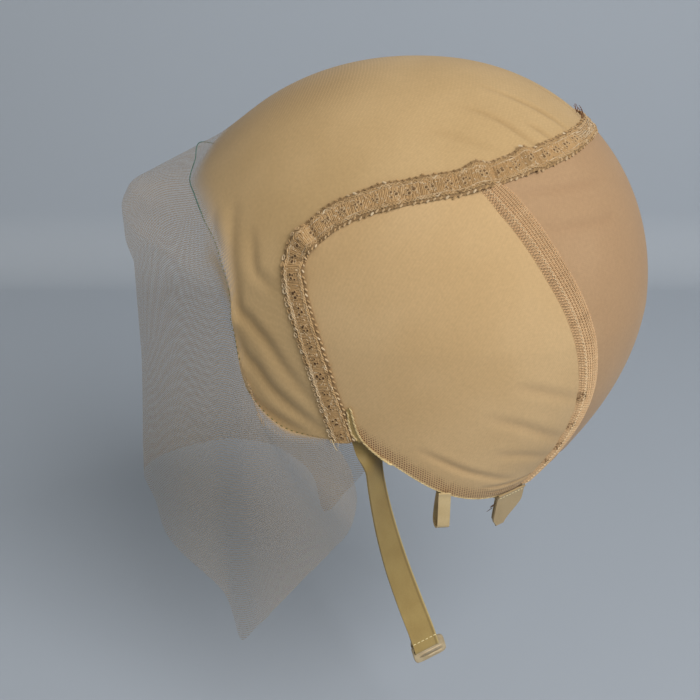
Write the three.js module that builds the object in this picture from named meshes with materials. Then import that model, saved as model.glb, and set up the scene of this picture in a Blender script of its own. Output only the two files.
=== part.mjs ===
// Lace front wig cap: a net cap sewn from a lace front, two side panels and a back panel, with a stretch
// lace trim over the front seam, mesh tapes over the back seams, a corded hem, loops and two hooked straps.
// Millimetres, +Z up. The wearer looks along -Y and the wearer's left is +X.
// The origin is the inside of the crown, where the cap sits on the head.
import * as THREE from 'three';

// Thicknesses and gaps
const CLOTH = 1.0;
const SEAM_GAP = 0.4;
const LAYER_GAP = 0.3;
const SKIN_LIFT = CLOTH + LAYER_GAP;

// The rounded form that the cap is stretched to
const FORM_ROUNDNESS = 2.1;
const CROWN_TO_WIDEST = 88;
const FORM_CENTRE = new THREE.Vector3(0, 0, -CROWN_TO_WIDEST);
const SKIN_SEARCH = { nearest: 0.2, farthest: 3, halvings: 40 };
const SLOPE_STEP = 0.05;
// Level below the widest one, half width there, reach to the front and to the back
const FORM_LEVELS = [
  { drop: 0, half_width: 75.5, front: 101, back: 88.5 },
  { drop: 45, half_width: 70, front: 95, back: 74 },
  { drop: 90, half_width: 58, front: 78, back: 36.5 },
];

// Seam under the lace trim, from the middle of the crown to the left ear
const TRIM_SEAM = [
  { x: 0, y: 61, z: -21 },
  { x: 15.5, y: 60, z: -21.5 },
  { x: 29.5, y: 56, z: -23 },
  { x: 42, y: 47.5, z: -25.5 },
  { x: 53, y: 34.5, z: -29 },
  { x: 60.5, y: 17, z: -33 },
  { x: 64.5, y: -1, z: -38 },
  { x: 67.5, y: -16, z: -45.5 },
  { x: 70, y: -27, z: -57 },
  { x: 72.5, y: -26, z: -69.5 },
  { x: 74.5, y: -21.7, z: -84 },
  { x: 74.5, y: -17, z: -99 },
  { x: 73, y: -12.6, z: -113.5 },
  { x: 71, y: -8.5, z: -128 },
];
const TAPE_HEAD_ROW = 4;
const TEMPLE_ROW = 8;
const EAR_ROW = TRIM_SEAM.length - 1;
// Wider seam gap under the trim's bend at the temple
const TEMPLE_GAP = { extra: 1.5, width: 0.09 };
const TRIM = { width: 10.5, thickness: 1.2, stations: 76, lanes: 2 };

// Seam under the left mesh tape, from the trim down to the hem
const TAPE_SEAM = [
  { x: 53, y: 34.5, z: -29 },
  { x: 54.5, y: 50, z: -43 },
  { x: 53, y: 61, z: -59 },
  { x: 48.5, y: 69.5, z: -77 },
  { x: 43, y: 74, z: -97 },
  { x: 37.5, y: 73.5, z: -117 },
  { x: 34, y: 66, z: -139 },
  { x: 33, y: 52.5, z: -158 },
];
const TAPE = { width: 8.8, thickness: 0.8, stations: 24, lanes: 2 };

// Hem of the left side panel, from the ear to the foot of the tape
const SIDE_HEM = [
  { x: 71.7, y: -10, z: -121 },
  { x: 71, y: -2, z: -127 },
  { x: 68.5, y: 12, z: -137 },
  { x: 63, y: 25, z: -147 },
  { x: 49, y: 40.5, z: -155 },
  { x: 33, y: 52.5, z: -158 },
];
const NAPE_MIDDLE = { x: 0, y: 58, z: -159 };
const HEM_CORD = { radius: 1, sides: 6, stations: 84, side_share: 0.38, ear_start: 0.2, clear: 2.1 };

// Hairline of the lace, from the middle of the forehead to the left ear
const HAIRLINE = [
  { x: 0, y: -96, z: -39 },
  { x: 13, y: -92, z: -43 },
  { x: 24.5, y: -89, z: -47.5 },
  { x: 40, y: -79.5, z: -49.5 },
  { x: 51, y: -71, z: -54 },
  { x: 60, y: -61.5, z: -62 },
  { x: 65, y: -55.5, z: -74 },
  { x: 66, y: -54, z: -87 },
  { x: 66, y: -52.5, z: -101 },
  { x: 65.3, y: -48.5, z: -117 },
  { x: 67, y: -35, z: -128 },
  { x: 70.3, y: -13, z: -128 },
];

// The uncut lace that hangs in front of the hairline: height, half width and reach to the front
const VEIL_CENTRE_Y = -24;
const VEIL_LEVELS = [
  { z: -39, half_width: 60, front: 96 },
  { z: -56, half_width: 64, front: 127 },
  { z: -62, half_width: 64.5, front: 128.5 },
  { z: -76, half_width: 66, front: 127.5 },
  { z: -84, half_width: 67, front: 124 },
  { z: -130, half_width: 70.5, front: 123.5 },
  { z: -175, half_width: 68, front: 126.5 },
  { z: -200, half_width: 64, front: 127.5 },
  { z: -242, half_width: 60, front: 125 },
];
// Cut edge of the uncut lace, from the middle of the face to the left ear: turn from the front, height
const CUT_EDGE = [
  { turn: 0, z: -194 },
  { turn: 14, z: -193.5 },
  { turn: 27, z: -196 },
  { turn: 40, z: -199.5 },
  { turn: 53, z: -205 },
  { turn: 63, z: -218 },
  { turn: 67.5, z: -242 },
  { turn: 75, z: -227 },
  { turn: 85, z: -203 },
  { turn: 94, z: -182 },
  { turn: 99, z: -168 },
  { turn: 101, z: -154 },
  { turn: 100, z: -141 },
];
// Grid of the lace, and where it leaves the form before the hairline and reaches the veil's levels after it
const LACE = { columns: 40, crown_rows: 15, veil_rows: 15, veil_gathering: 1.5 };
const BROW = { lead: 0.72, ear_lead: 0.86, bend: 2, settle: 0.12 };

// Folds of the lace that gather at the ear: share of the way from trim to hairline, width, height, start
const TEMPLE_FOLDS = [
  { share: 0.46, width: 0.1, height: 1.6, start: 0.52 },
  { share: 0.74, width: 0.1, height: 2.4, start: 0.46 },
  { share: 1.04, width: 0.06, height: 2.2, start: 0.6 },
  { share: 1.24, width: 0.08, height: 2.4, start: 0.42 },
];
const FOLD_FADE = { ear_from: 0.82, ear_to: 0.94, trim: 0.3, run: 0.2 };
// Slow waves of the hanging lace: how many across, how high at the cut edge
const VEIL_WAVES = { count: 7, height: 2.6, phase: 0.9 };
// Sag folds of the side panel over the hem: share of its height, width and height
const SIDE_FOLDS = [
  { share: 0.16, width: 0.05, height: 1.1 },
  { share: 0.31, width: 0.06, height: 0.9 },
];
const SIDE_FOLD_START = { from: 0.3, to: 0.6 };
// Grid of a panel, and the strip along its edges where its folds fade
const PANEL = { columns: 15, rows: 15 };
const PANEL_EDGE = { from: 0.08, to: 0.2 };
// Ear corner of the side panel: how far before the seam's end it turns to the hem, and how sharply
const EAR_CORNER = { rows_back: 0.5, sharpness: 4 };

// Ribbon loops on the hem: share of the way along the side hem, width, drop below the hem, rise above it,
// lift of the outer ply off the form, and how far it sways out for each millimetre of drop
const HEM_LOOP = { place: 0.628, width: 5, drop: 14, rise: 3, lift: 1.9, sway: 0.3 };
const NAPE_TAB = { place: 0.94, width: 11, drop: 13, rise: 6, lift: 2.5, sway: 0.45 };
const RIBBON = 0.8;
const LOOP_INNER_LIFT = -2.2;
const LOOP_BEND_STEPS = 8;

// Ribbon strap of the left side, from inside the ear corner to the hook
const STRAP_PATH = [
  { x: 72, y: -4.5, z: -116, lift: -1.5 },
  { x: 70.5, y: -1.5, z: -126, lift: -1.5 },
  { x: 69.9, y: 1, z: -135, lift: -1.7 },
  { x: 68, y: 3, z: -147 },
  { x: 67.8, y: 6.1, z: -162 },
  { x: 67.5, y: 10.8, z: -179 },
  { x: 67, y: 16.6, z: -196 },
  { x: 66.3, y: 22, z: -211 },
  { x: 66.1, y: 24.1, z: -217.7 },
];
const STRAP = { width: 10.5, thickness: 1, stations: 26, lanes: 1 };
// The strap's face turns to the rear just below the hem and part of the way back further down: degrees, and
// the shares of its way where it does so
const STRAP_TWIST = { start: 0.13, high_turn: 75, high: 0.31, low_turn: 42, low: 0.88 };
// Hook plate, how far it stands aside of the strap's middle, and its slot, which keeps to that middle
const HOOK = { width: 14, height: 8, thickness: 1.4, corner: 2.2, corner_steps: 4 };
const HOOK_PLACE = { overlap: 3.5, aside: 1, aim: 0.95 };
const HOOK_SLOT = { width: 10.7, height: 2 };

// Colours and finishes
const FINISHES = {
  lace: { color: 0xc8ab7c, roughness: 0.85, metalness: 0 },
  side_net: { color: 0xc9aa78, roughness: 0.8, metalness: 0 },
  back_net: { color: 0xbe9670, roughness: 0.8, metalness: 0 },
  trim: { color: 0xab8d65, roughness: 0.75, metalness: 0 },
  tape: { color: 0xa8895f, roughness: 0.8, metalness: 0 },
  cord: { color: 0xd8c08e, roughness: 0.7, metalness: 0 },
  ribbon: { color: 0x9a8450, roughness: 0.55, metalness: 0 },
  loop: { color: 0xb59c6e, roughness: 0.6, metalness: 0 },
  hook: { color: 0xa59680, roughness: 0.3, metalness: 0 },
};

const toVector = (row) => new THREE.Vector3(row.x, row.y, row.z);
const mix = THREE.MathUtils.lerp;
const bell = (distance, width) => Math.exp(-((distance / width) ** 2));

// Quadratic through the three form levels
function formLevel(drop) {
  const step = drop / FORM_LEVELS[1].drop;
  const through = (key) => {
    const [top, middle, low] = FORM_LEVELS.map((level) => level[key]);
    const bend = (low - 2 * middle + top) / 2;
    return top + (middle - top - bend) * step + bend * step * step;
  };
  return { half_width: through('half_width'), front: through('front'), back: through('back') };
}

// How full a point is: 1 on the form's skin, less inside it and more outside
function formFill(point) {
  const level = formLevel(Math.max(0, -point.z - CROWN_TO_WIDEST));
  const reach = point.y < 0 ? level.front : level.back;
  const rise = Math.max(0, 1 + point.z / CROWN_TO_WIDEST);
  return Math.abs(point.x / level.half_width) ** FORM_ROUNDNESS
    + Math.abs(point.y / reach) ** FORM_ROUNDNESS
    + rise ** FORM_ROUNDNESS;
}

// The skin's outward direction, from the slope of the fill
function formNormal(point) {
  const slope = (axis) => {
    const ahead = point.clone();
    const behind = point.clone();
    ahead[axis] += SLOPE_STEP;
    behind[axis] -= SLOPE_STEP;
    return formFill(ahead) - formFill(behind);
  };
  return new THREE.Vector3(slope('x'), slope('y'), slope('z')).normalize();
}

// The point of the skin that lies in line with a point from the form's centre, raised by a lift
function onForm(point, lift = 0) {
  const ray = point.clone().sub(FORM_CENTRE);
  let { nearest, farthest } = SKIN_SEARCH;
  for (let turn = 0; turn < SKIN_SEARCH.halvings; turn += 1) {
    const middle = (nearest + farthest) / 2;
    const inside = formFill(ray.clone().multiplyScalar(middle).add(FORM_CENTRE)) < 1;
    if (inside) nearest = middle;
    else farthest = middle;
  }
  const skin = ray.multiplyScalar(nearest).add(FORM_CENTRE);
  return lift === 0 ? skin : skin.addScaledVector(formNormal(skin), lift);
}

// A smooth curve through rows, read between two of its rows
function route(rows) {
  const curve = new THREE.CatmullRomCurve3(rows.map(toVector));
  const last = rows.length - 1;
  return (share, from = 0, to = last) => curve.getPoint(mix(from, to, share) / last);
}

// A route that starts on the middle plane and crosses it square, so that its two halves meet without a kink
function middleRoute(rows) {
  const whole = route([{ ...rows[1], x: -rows[1].x }, ...rows]);
  return (share, from = 0, to = rows.length - 1) => whole(share, from + 1, to + 1);
}

const trimSeam = middleRoute(TRIM_SEAM);
const tapeSeam = route(TAPE_SEAM);
const sideHem = route(SIDE_HEM);
const hairline = middleRoute(HAIRLINE);
const mirrored = (point) => new THREE.Vector3(-point.x, point.y, point.z);
const backRows = [...SIDE_HEM].reverse();
const napeHem = route([
  backRows[1], backRows[0], NAPE_MIDDLE,
  { ...backRows[0], x: -backRows[0].x }, { ...backRows[1], x: -backRows[1].x },
]);
// The nape's own stretch of that route, between the feet of the tapes
const napeEdge = (share) => napeHem(share, 1, 3);

// One closed body from two grids of points, the outer and the inner face, and the strips round their edge
function wallGeometry(outer, inner) {
  const rows = outer.length;
  const columns = outer[0].length;
  const positions = [];
  [outer, inner].forEach((face) => face.forEach((row) => row.forEach((p) => positions.push(p.x, p.y, p.z))));
  const at = (face, row, column) => (face * rows + row) * columns + column;
  const index = [];
  const quad = (a, b, c, d) => index.push(a, b, c, a, c, d);
  for (let row = 0; row + 1 < rows; row += 1) {
    for (let column = 0; column + 1 < columns; column += 1) {
      quad(at(0, row, column), at(0, row, column + 1), at(0, row + 1, column + 1), at(0, row + 1, column));
      quad(at(1, row, column), at(1, row + 1, column), at(1, row + 1, column + 1), at(1, row, column + 1));
    }
  }
  const low = rows - 1;
  for (let column = 0; column + 1 < columns; column += 1) {
    quad(at(0, 0, column), at(1, 0, column), at(1, 0, column + 1), at(0, 0, column + 1));
    quad(at(0, low, column), at(0, low, column + 1), at(1, low, column + 1), at(1, low, column));
  }
  const far = columns - 1;
  for (let row = 0; row + 1 < rows; row += 1) {
    quad(at(0, row, 0), at(0, row + 1, 0), at(1, row + 1, 0), at(1, row, 0));
    quad(at(0, row, far), at(1, row, far), at(1, row + 1, far), at(0, row + 1, far));
  }
  return facingOut(positions, index);
}

// Geometry from points and triangles, turned so that it encloses a positive volume
function facingOut(positions, index) {
  const corner = (k) => new THREE.Vector3().fromArray(positions, index[k] * 3);
  let volume = 0;
  for (let k = 0; k < index.length; k += 3) {
    volume += corner(k).dot(corner(k + 1).cross(corner(k + 2)));
  }
  const facing = volume > 0 ? index : [...index].reverse();
  const geometry = new THREE.BufferGeometry();
  geometry.setAttribute('position', new THREE.Float32BufferAttribute(positions, 3));
  geometry.setIndex(facing);
  return geometry;
}

// A closed tube of grid rings carried along stations, with a fan on each end
function tubeGeometry(rings) {
  const sides = rings[0].length;
  const positions = [];
  rings.forEach((ring) => ring.forEach((p) => positions.push(p.x, p.y, p.z)));
  const index = [];
  for (let ring = 0; ring + 1 < rings.length; ring += 1) {
    for (let side = 0; side < sides; side += 1) {
      const next = (side + 1) % sides;
      const a = ring * sides + side;
      const b = ring * sides + next;
      index.push(a, b, b + sides, a, b + sides, a + sides);
    }
  }
  const end = (rings.length - 1) * sides;
  for (let side = 1; side + 1 < sides; side += 1) {
    index.push(0, side + 1, side, end, end + side, end + side + 1);
  }
  return facingOut(positions, index);
}

// Four-sided patch blended from its four edges and drawn on to the form
function coonsPatch({ low, high, front, rear }) {
  const corners = { lf: low(0), lr: low(1), hf: high(0), hr: high(1) };
  return (across, up) => {
    const point = new THREE.Vector3();
    point.addScaledVector(low(across), 1 - up).addScaledVector(high(across), up);
    point.addScaledVector(front(up), 1 - across).addScaledVector(rear(up), across);
    point.addScaledVector(corners.lf, -(1 - across) * (1 - up));
    point.addScaledVector(corners.lr, -across * (1 - up));
    point.addScaledVector(corners.hf, -(1 - across) * up).addScaledVector(corners.hr, -across * up);
    return onForm(point);
  };
}

// Panel wall over a patch, kept clear of the patch's edges, with folds that fade towards them
function panelGeometry(patch, clear, fold) {
  const grid = (lift) => Array.from({ length: PANEL.rows + 1 }, (_, row) => (
    Array.from({ length: PANEL.columns + 1 }, (__, column) => {
      const across = mix(clear.front, 1 - clear.rear, column / PANEL.columns);
      const up = mix(clear.low, 1 - clear.high, row / PANEL.rows);
      const skin = patch(across, up);
      const edge = Math.min(across, 1 - across, up, 1 - up);
      const fade = THREE.MathUtils.smoothstep(edge, PANEL_EDGE.from, PANEL_EDGE.to);
      return skin.clone().addScaledVector(formNormal(skin), lift + fade * fold(across, up));
    })
  ));
  return wallGeometry(grid(CLOTH), grid(0));
}

// Share of a patch's span that gives a gap in millimetres
const clearance = (gap, from, to) => gap / from.distanceTo(to);

function sidePanelGeometry() {
  const low = (share) => sideHem(share);
  const high = (share) => trimSeam(share, TEMPLE_ROW, TAPE_HEAD_ROW);
  const earRow = EAR_ROW - EAR_CORNER.rows_back;
  const front = (share) => (
    trimSeam(share, earRow, TEMPLE_ROW).lerp(low(0), (1 - share) ** EAR_CORNER.sharpness)
  );
  const rear = (share) => tapeSeam(1 - share);
  const patch = coonsPatch({ low, high, front, rear });
  const clear = {
    front: clearance(SEAM_GAP, low(0), low(1)),
    rear: clearance(SEAM_GAP, high(0), high(1)),
    low: clearance(HEM_CORD.clear, low(0), high(0)),
    high: clearance(SEAM_GAP, low(0), high(0)),
  };
  const fold = (across, up) => SIDE_FOLDS.reduce((sum, row) => (
    sum + row.height * bell(up - row.share, row.width)
      * THREE.MathUtils.smoothstep(across, SIDE_FOLD_START.from, SIDE_FOLD_START.to)
  ), 0);
  return panelGeometry(patch, clear, fold);
}

function backPanelGeometry() {
  const low = napeEdge;
  const high = (share) => {
    const reach = mix(-TAPE_HEAD_ROW, TAPE_HEAD_ROW, share);
    const point = trimSeam(Math.abs(reach) / EAR_ROW);
    return reach < 0 ? point : mirrored(point);
  };
  const front = (share) => tapeSeam(1 - share);
  const rear = (share) => mirrored(front(share));
  const patch = coonsPatch({ low, high, front, rear });
  const clear = {
    front: clearance(SEAM_GAP, low(0), low(1)),
    rear: clearance(SEAM_GAP, low(0), low(1)),
    low: clearance(HEM_CORD.clear, low(0), high(0)),
    high: clearance(SEAM_GAP, low(0), high(0)),
  };
  return panelGeometry(patch, clear, () => 0);
}

// Half width and reach of the hanging lace at a height
function veilLevel(z) {
  const below = VEIL_LEVELS.findIndex((level) => level.z <= z);
  const low = VEIL_LEVELS[below < 0 ? VEIL_LEVELS.length - 1 : Math.max(below, 1)];
  const high = VEIL_LEVELS[VEIL_LEVELS.indexOf(low) - 1];
  const share = (z - high.z) / (low.z - high.z);
  return {
    half_width: mix(high.half_width, low.half_width, share),
    depth: mix(high.front, low.front, share) + VEIL_CENTRE_Y,
  };
}

function onVeil(turn, z) {
  const level = veilLevel(z);
  return new THREE.Vector3(
    level.half_width * Math.sin(turn),
    VEIL_CENTRE_Y - level.depth * Math.cos(turn),
    z,
  );
}

// Cut edge at a share of the way from the middle of the face to the ear
const cutCurve = new THREE.CatmullRomCurve3(CUT_EDGE.map((row) => new THREE.Vector3(row.turn, row.z, 0)));
function cutEdge(share) {
  const point = cutCurve.getPoint(share);
  return { turn: THREE.MathUtils.degToRad(point.x), z: point.y };
}

// Left half of the lace: share runs from the middle to the ear, fall is 0 at the trim, 1 at the hairline
// and 2 at the cut edge. On the crown it lies on the form and leaves it a little before the hairline. Below
// the hairline it hangs on the veil's levels, and the step between hairline and veil fades out as it falls.
function lacePoint(share, fall) {
  const seam = trimSeam(share);
  const brow = hairline(share);
  if (fall <= 1) {
    const start = mix(BROW.lead, BROW.ear_lead, share);
    const lead = Math.max(0, (fall - start) / (1 - start)) ** BROW.bend;
    const rise = brow.clone().sub(onForm(brow));
    return onForm(seam.lerp(brow, fall)).addScaledVector(rise, lead);
  }
  const hang = fall - 1;
  const edge = cutEdge(share);
  const level = veilLevel(brow.z);
  const browTurn = Math.atan2(brow.x / level.half_width, (VEIL_CENTRE_Y - brow.y) / level.depth);
  const step = brow.clone().sub(onVeil(browTurn, brow.z));
  const settle = Math.max(0, 1 - hang / BROW.settle);
  return onVeil(mix(browTurn, edge.turn, hang), mix(brow.z, edge.z, hang)).addScaledVector(step, settle);
}

// Height of the lace's folds: ridges that run to the ear, and slow waves towards the cut edge
function laceFold(side, fall) {
  const share = Math.abs(side);
  const trimFade = THREE.MathUtils.smoothstep(fall, 0, FOLD_FADE.trim);
  const earFade = 1 - THREE.MathUtils.smoothstep(share, FOLD_FADE.ear_from, FOLD_FADE.ear_to);
  const ridges = TEMPLE_FOLDS.reduce((sum, row) => (
    sum + row.height * bell(fall - row.share, row.width)
      * THREE.MathUtils.smoothstep(share, row.start, row.start + FOLD_FADE.run)
  ), 0);
  const hang = Math.max(0, fall - 1);
  const swing = Math.sin(VEIL_WAVES.count * Math.PI * side + VEIL_WAVES.phase);
  const wave = VEIL_WAVES.height * hang * hang * swing;
  return ridges * trimFade * earFade + wave * earFade;
}

function laceFrontGeometry() {
  const falls = [];
  for (let row = 0; row <= LACE.crown_rows; row += 1) falls.push(row / LACE.crown_rows);
  for (let row = 1; row <= LACE.veil_rows; row += 1) {
    falls.push(1 + (row / LACE.veil_rows) ** LACE.veil_gathering);
  }
  const sides = Array.from({ length: LACE.columns + 1 }, (_, column) => mix(-1, 1, column / LACE.columns));
  const startOf = sides.map((side) => {
    const share = Math.abs(side);
    const gap = SEAM_GAP + TEMPLE_GAP.extra * bell(share - TEMPLE_ROW / EAR_ROW, TEMPLE_GAP.width);
    return gap / trimSeam(share).distanceTo(hairline(share));
  });
  const middle = falls.map((fall) => sides.map((side, column) => {
    const point = lacePoint(Math.abs(side), Math.max(fall, startOf[column]));
    return side < 0 ? mirrored(point) : point;
  }));
  const normals = gridNormals(middle);
  const face = (lift) => middle.map((row, r) => row.map((point, c) => (
    point.clone().addScaledVector(normals[r][c], lift + laceFold(sides[c], falls[r]))
  )));
  return wallGeometry(face(CLOTH), face(0));
}

// Outward direction at each point of a grid, from its neighbours
function gridNormals(grid) {
  const rows = grid.length - 1;
  const columns = grid[0].length - 1;
  return grid.map((line, r) => line.map((_, c) => {
    const along = grid[r][Math.min(c + 1, columns)].clone().sub(grid[r][Math.max(c - 1, 0)]);
    const down = grid[Math.min(r + 1, rows)][c].clone().sub(grid[Math.max(r - 1, 0)][c]);
    return down.cross(along).normalize();
  }));
}

// A flat strip carried along a centreline: each station gives a point and the direction that faces out
function stripGeometry(stations, { width, thickness, lanes }) {
  const last = stations.length - 1;
  const frames = stations.map((station, k) => {
    const ahead = stations[Math.min(k + 1, last)].point;
    const behind = stations[Math.max(k - 1, 0)].point;
    const along = ahead.clone().sub(behind).normalize();
    return { ...station, across: along.cross(station.normal).normalize() };
  });
  const face = (lift) => frames.map(({ point, normal, across, settle }) => (
    Array.from({ length: lanes + 1 }, (_, lane) => {
      const place = point.clone().addScaledVector(across, mix(-width / 2, width / 2, lane / lanes));
      const rest = settle ? onForm(place, settle) : place;
      return rest.addScaledVector(normal, lift);
    })
  ));
  return wallGeometry(face(thickness), face(0));
}

// Stations of a strip that lies on the cloth along a route
function clothStations(path, count, lift) {
  return Array.from({ length: count + 1 }, (_, k) => {
    const point = onForm(path(k / count), lift);
    return { point, normal: formNormal(point), settle: lift };
  });
}

function trimGeometry() {
  const path = (share) => {
    const side = mix(-1, 1, share);
    const point = trimSeam(Math.abs(side));
    return side < 0 ? mirrored(point) : point;
  };
  return stripGeometry(clothStations(path, TRIM.stations, SKIN_LIFT), TRIM);
}

function tapeGeometry() {
  const length = toVector(TAPE_SEAM[0]).distanceTo(toVector(TAPE_SEAM[TAPE_SEAM.length - 1]));
  const head = (TRIM.width / 2 + TAPE.width / 4 + SEAM_GAP) / length;
  const foot = (HEM_CORD.radius + 2 * SEAM_GAP) / length;
  const path = (share) => tapeSeam(mix(head, 1 - foot, share));
  return stripGeometry(clothStations(path, TAPE.stations, SKIN_LIFT), TAPE);
}

// Hem cord in the middle of the cloth's thickness, from ear to ear round the nape
function hemCordGeometry() {
  const sideShare = HEM_CORD.side_share;
  const path = (share) => {
    if (share < sideShare) return sideHem(mix(HEM_CORD.ear_start, 1, share / sideShare));
    if (share > 1 - sideShare) return mirrored(sideHem(mix(HEM_CORD.ear_start, 1, (1 - share) / sideShare)));
    return napeEdge((share - sideShare) / (1 - 2 * sideShare));
  };
  const points = Array.from({ length: HEM_CORD.stations + 1 }, (_, k) => (
    onForm(path(k / HEM_CORD.stations), CLOTH / 2)
  ));
  const rings = points.map((point, k) => {
    const ahead = points[Math.min(k + 1, HEM_CORD.stations)];
    const behind = points[Math.max(k - 1, 0)];
    const along = ahead.clone().sub(behind).normalize();
    const out = formNormal(point);
    const across = along.clone().cross(out).normalize();
    return Array.from({ length: HEM_CORD.sides }, (_, side) => {
      const turn = (side / HEM_CORD.sides) * Math.PI * 2;
      return point.clone()
        .addScaledVector(out, Math.cos(turn) * HEM_CORD.radius)
        .addScaledVector(across, Math.sin(turn) * HEM_CORD.radius);
    });
  });
  return tubeGeometry(rings);
}

// Ribbon folded round the hem: down outside, round the bend, and up inside to the hem
function loopGeometry({ place, width, drop, rise, lift, sway }) {
  const origin = onForm(sideHem(place));
  const out = formNormal(origin);
  const along = new THREE.Vector3(0, 0, 1).cross(out).normalize();
  const down = along.clone().cross(out).normalize();
  if (down.z > 0) down.negate();
  const middle = (lift + LOOP_INNER_LIFT + RIBBON) / 2;
  const reach = (lift - LOOP_INNER_LIFT) / 2;
  const line = (offset) => {
    const radius = reach + offset - RIBBON / 2;
    const bend = Array.from({ length: LOOP_BEND_STEPS + 1 }, (_, k) => {
      const turn = (k / LOOP_BEND_STEPS) * Math.PI;
      return { fall: drop - reach + radius * Math.sin(turn), lift: middle + radius * Math.cos(turn) };
    });
    return [
      { fall: -rise, lift: middle + radius },
      { fall: 0, lift: middle + radius },
      ...bend,
      { fall: 0, lift: middle - radius },
    ];
  };
  const face = (offset) => line(offset).map((point) => [-1, 1].map((side) => (
    origin.clone()
      .addScaledVector(down, point.fall)
      .addScaledVector(out, point.lift + sway * Math.max(0, point.fall))
      .addScaledVector(along, side * width / 2)
  )));
  return wallGeometry(face(RIBBON), face(0));
}

const strapRoute = route(STRAP_PATH.map((row) => (row.lift ? onForm(toVector(row), row.lift) : row)));
// The way that the left strap's face looks at a share of its way down
function strapNormal(share) {
  const { start, high_turn: highTurn, high, low_turn: lowTurn, low } = STRAP_TWIST;
  const there = highTurn * THREE.MathUtils.smoothstep(share, start, high);
  const back = (highTurn - lowTurn) * THREE.MathUtils.smoothstep(share, high, low);
  const turn = THREE.MathUtils.degToRad(there - back);
  return new THREE.Vector3(Math.cos(turn), Math.sin(turn), 0);
}

function strapGeometry() {
  const stations = Array.from({ length: STRAP.stations + 1 }, (_, k) => {
    const share = k / STRAP.stations;
    return { point: strapRoute(share), normal: strapNormal(share) };
  });
  stations.forEach((station) => station.point.addScaledVector(station.normal, -STRAP.thickness / 2));
  return stripGeometry(stations, STRAP);
}

// Flat plastic hook behind the end of the strap: a rounded plate with a slot across it
function hookGeometry() {
  const halfWidth = HOOK.width / 2;
  const halfHeight = HOOK.height / 2;
  const round = HOOK.corner;
  const plate = new THREE.Shape();
  plate.moveTo(-halfWidth + round, -halfHeight);
  plate.lineTo(halfWidth - round, -halfHeight);
  plate.absarc(halfWidth - round, -halfHeight + round, round, -Math.PI / 2, 0);
  plate.lineTo(halfWidth, halfHeight - round);
  plate.absarc(halfWidth - round, halfHeight - round, round, 0, Math.PI / 2);
  plate.lineTo(-halfWidth + round, halfHeight);
  plate.absarc(-halfWidth + round, halfHeight - round, round, Math.PI / 2, Math.PI);
  plate.lineTo(-halfWidth, -halfHeight + round);
  plate.absarc(-halfWidth + round, -halfHeight + round, round, Math.PI, Math.PI * 1.5);
  const slot = new THREE.Path();
  const slotHigh = -halfHeight + HOOK_PLACE.overlap;
  const slotLow = slotHigh - HOOK_SLOT.height;
  const slotNear = HOOK_PLACE.aside - HOOK_SLOT.width / 2;
  const slotFar = HOOK_PLACE.aside + HOOK_SLOT.width / 2;
  slot.moveTo(slotNear, slotLow);
  slot.lineTo(slotNear, slotHigh);
  slot.lineTo(slotFar, slotHigh);
  slot.lineTo(slotFar, slotLow);
  slot.closePath();
  plate.holes.push(slot);
  const geometry = new THREE.ExtrudeGeometry(plate, {
    depth: HOOK.thickness, bevelEnabled: false, curveSegments: HOOK.corner_steps,
  });
  const tip = strapRoute(1);
  const along = tip.clone().sub(strapRoute(HOOK_PLACE.aim)).normalize();
  const across = along.clone().cross(strapNormal(1)).normalize();
  const out = across.clone().cross(along);
  const place = new THREE.Matrix4().makeBasis(across, along, out);
  const behind = STRAP.thickness / 2 + LAYER_GAP + HOOK.thickness;
  const centre = tip.clone().addScaledVector(out, -behind);
  centre.addScaledVector(along, halfHeight - HOOK_PLACE.overlap);
  centre.addScaledVector(across, -HOOK_PLACE.aside);
  place.setPosition(centre);
  return geometry.applyMatrix4(place);
}

// The same geometry on the other side of the middle plane, with its faces turned back out
function mirroredGeometry(geometry) {
  const plain = geometry.index ? geometry : indexed(geometry);
  const flip = (value, k) => (k % 3 === 0 ? -value : value);
  const positions = Array.from(plain.attributes.position.array, flip);
  return facingOut(positions, Array.from(plain.index.array));
}

// Geometry without an index, given one that names its points in order
function indexed(geometry) {
  const copy = geometry.clone();
  copy.setIndex(Array.from({ length: copy.attributes.position.count }, (_, k) => k));
  return copy;
}

const cap = new THREE.Group();

function addPiece(name, geometry, finish) {
  const mesh = new THREE.Mesh(geometry, new THREE.MeshStandardMaterial(FINISHES[finish]));
  mesh.name = name;
  cap.add(mesh);
}

function addPair(name, geometry, finish) {
  addPiece(`${name}_left`, geometry, finish);
  addPiece(`${name}_right`, mirroredGeometry(geometry), finish);
}

addPiece('lace_front', laceFrontGeometry(), 'lace');
addPair('side_panel', sidePanelGeometry(), 'side_net');
addPiece('back_panel', backPanelGeometry(), 'back_net');
addPiece('trim_band', trimGeometry(), 'trim');
addPair('seam_tape', tapeGeometry(), 'tape');
addPiece('hem_cord', hemCordGeometry(), 'cord');
addPair('hem_loop', loopGeometry(HEM_LOOP), 'loop');
addPair('nape_tab', loopGeometry(NAPE_TAB), 'loop');
addPair('strap', strapGeometry(), 'ribbon');
addPair('strap_hook', hookGeometry(), 'hook');

export default cap;
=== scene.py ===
"""Lace front wig cap: the looks of a net cap with an uncut lace front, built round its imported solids.

Every cloth piece is a surface worked out on a grid over the same rounded form and the same seam routes as the
solids. The trim, the tapes and the hem are strands carried along those routes. Tables are in millimetres.
"""
import math
from collections import namedtuple

import bpy
import numpy as np
from mathutils import Matrix, Vector


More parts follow.
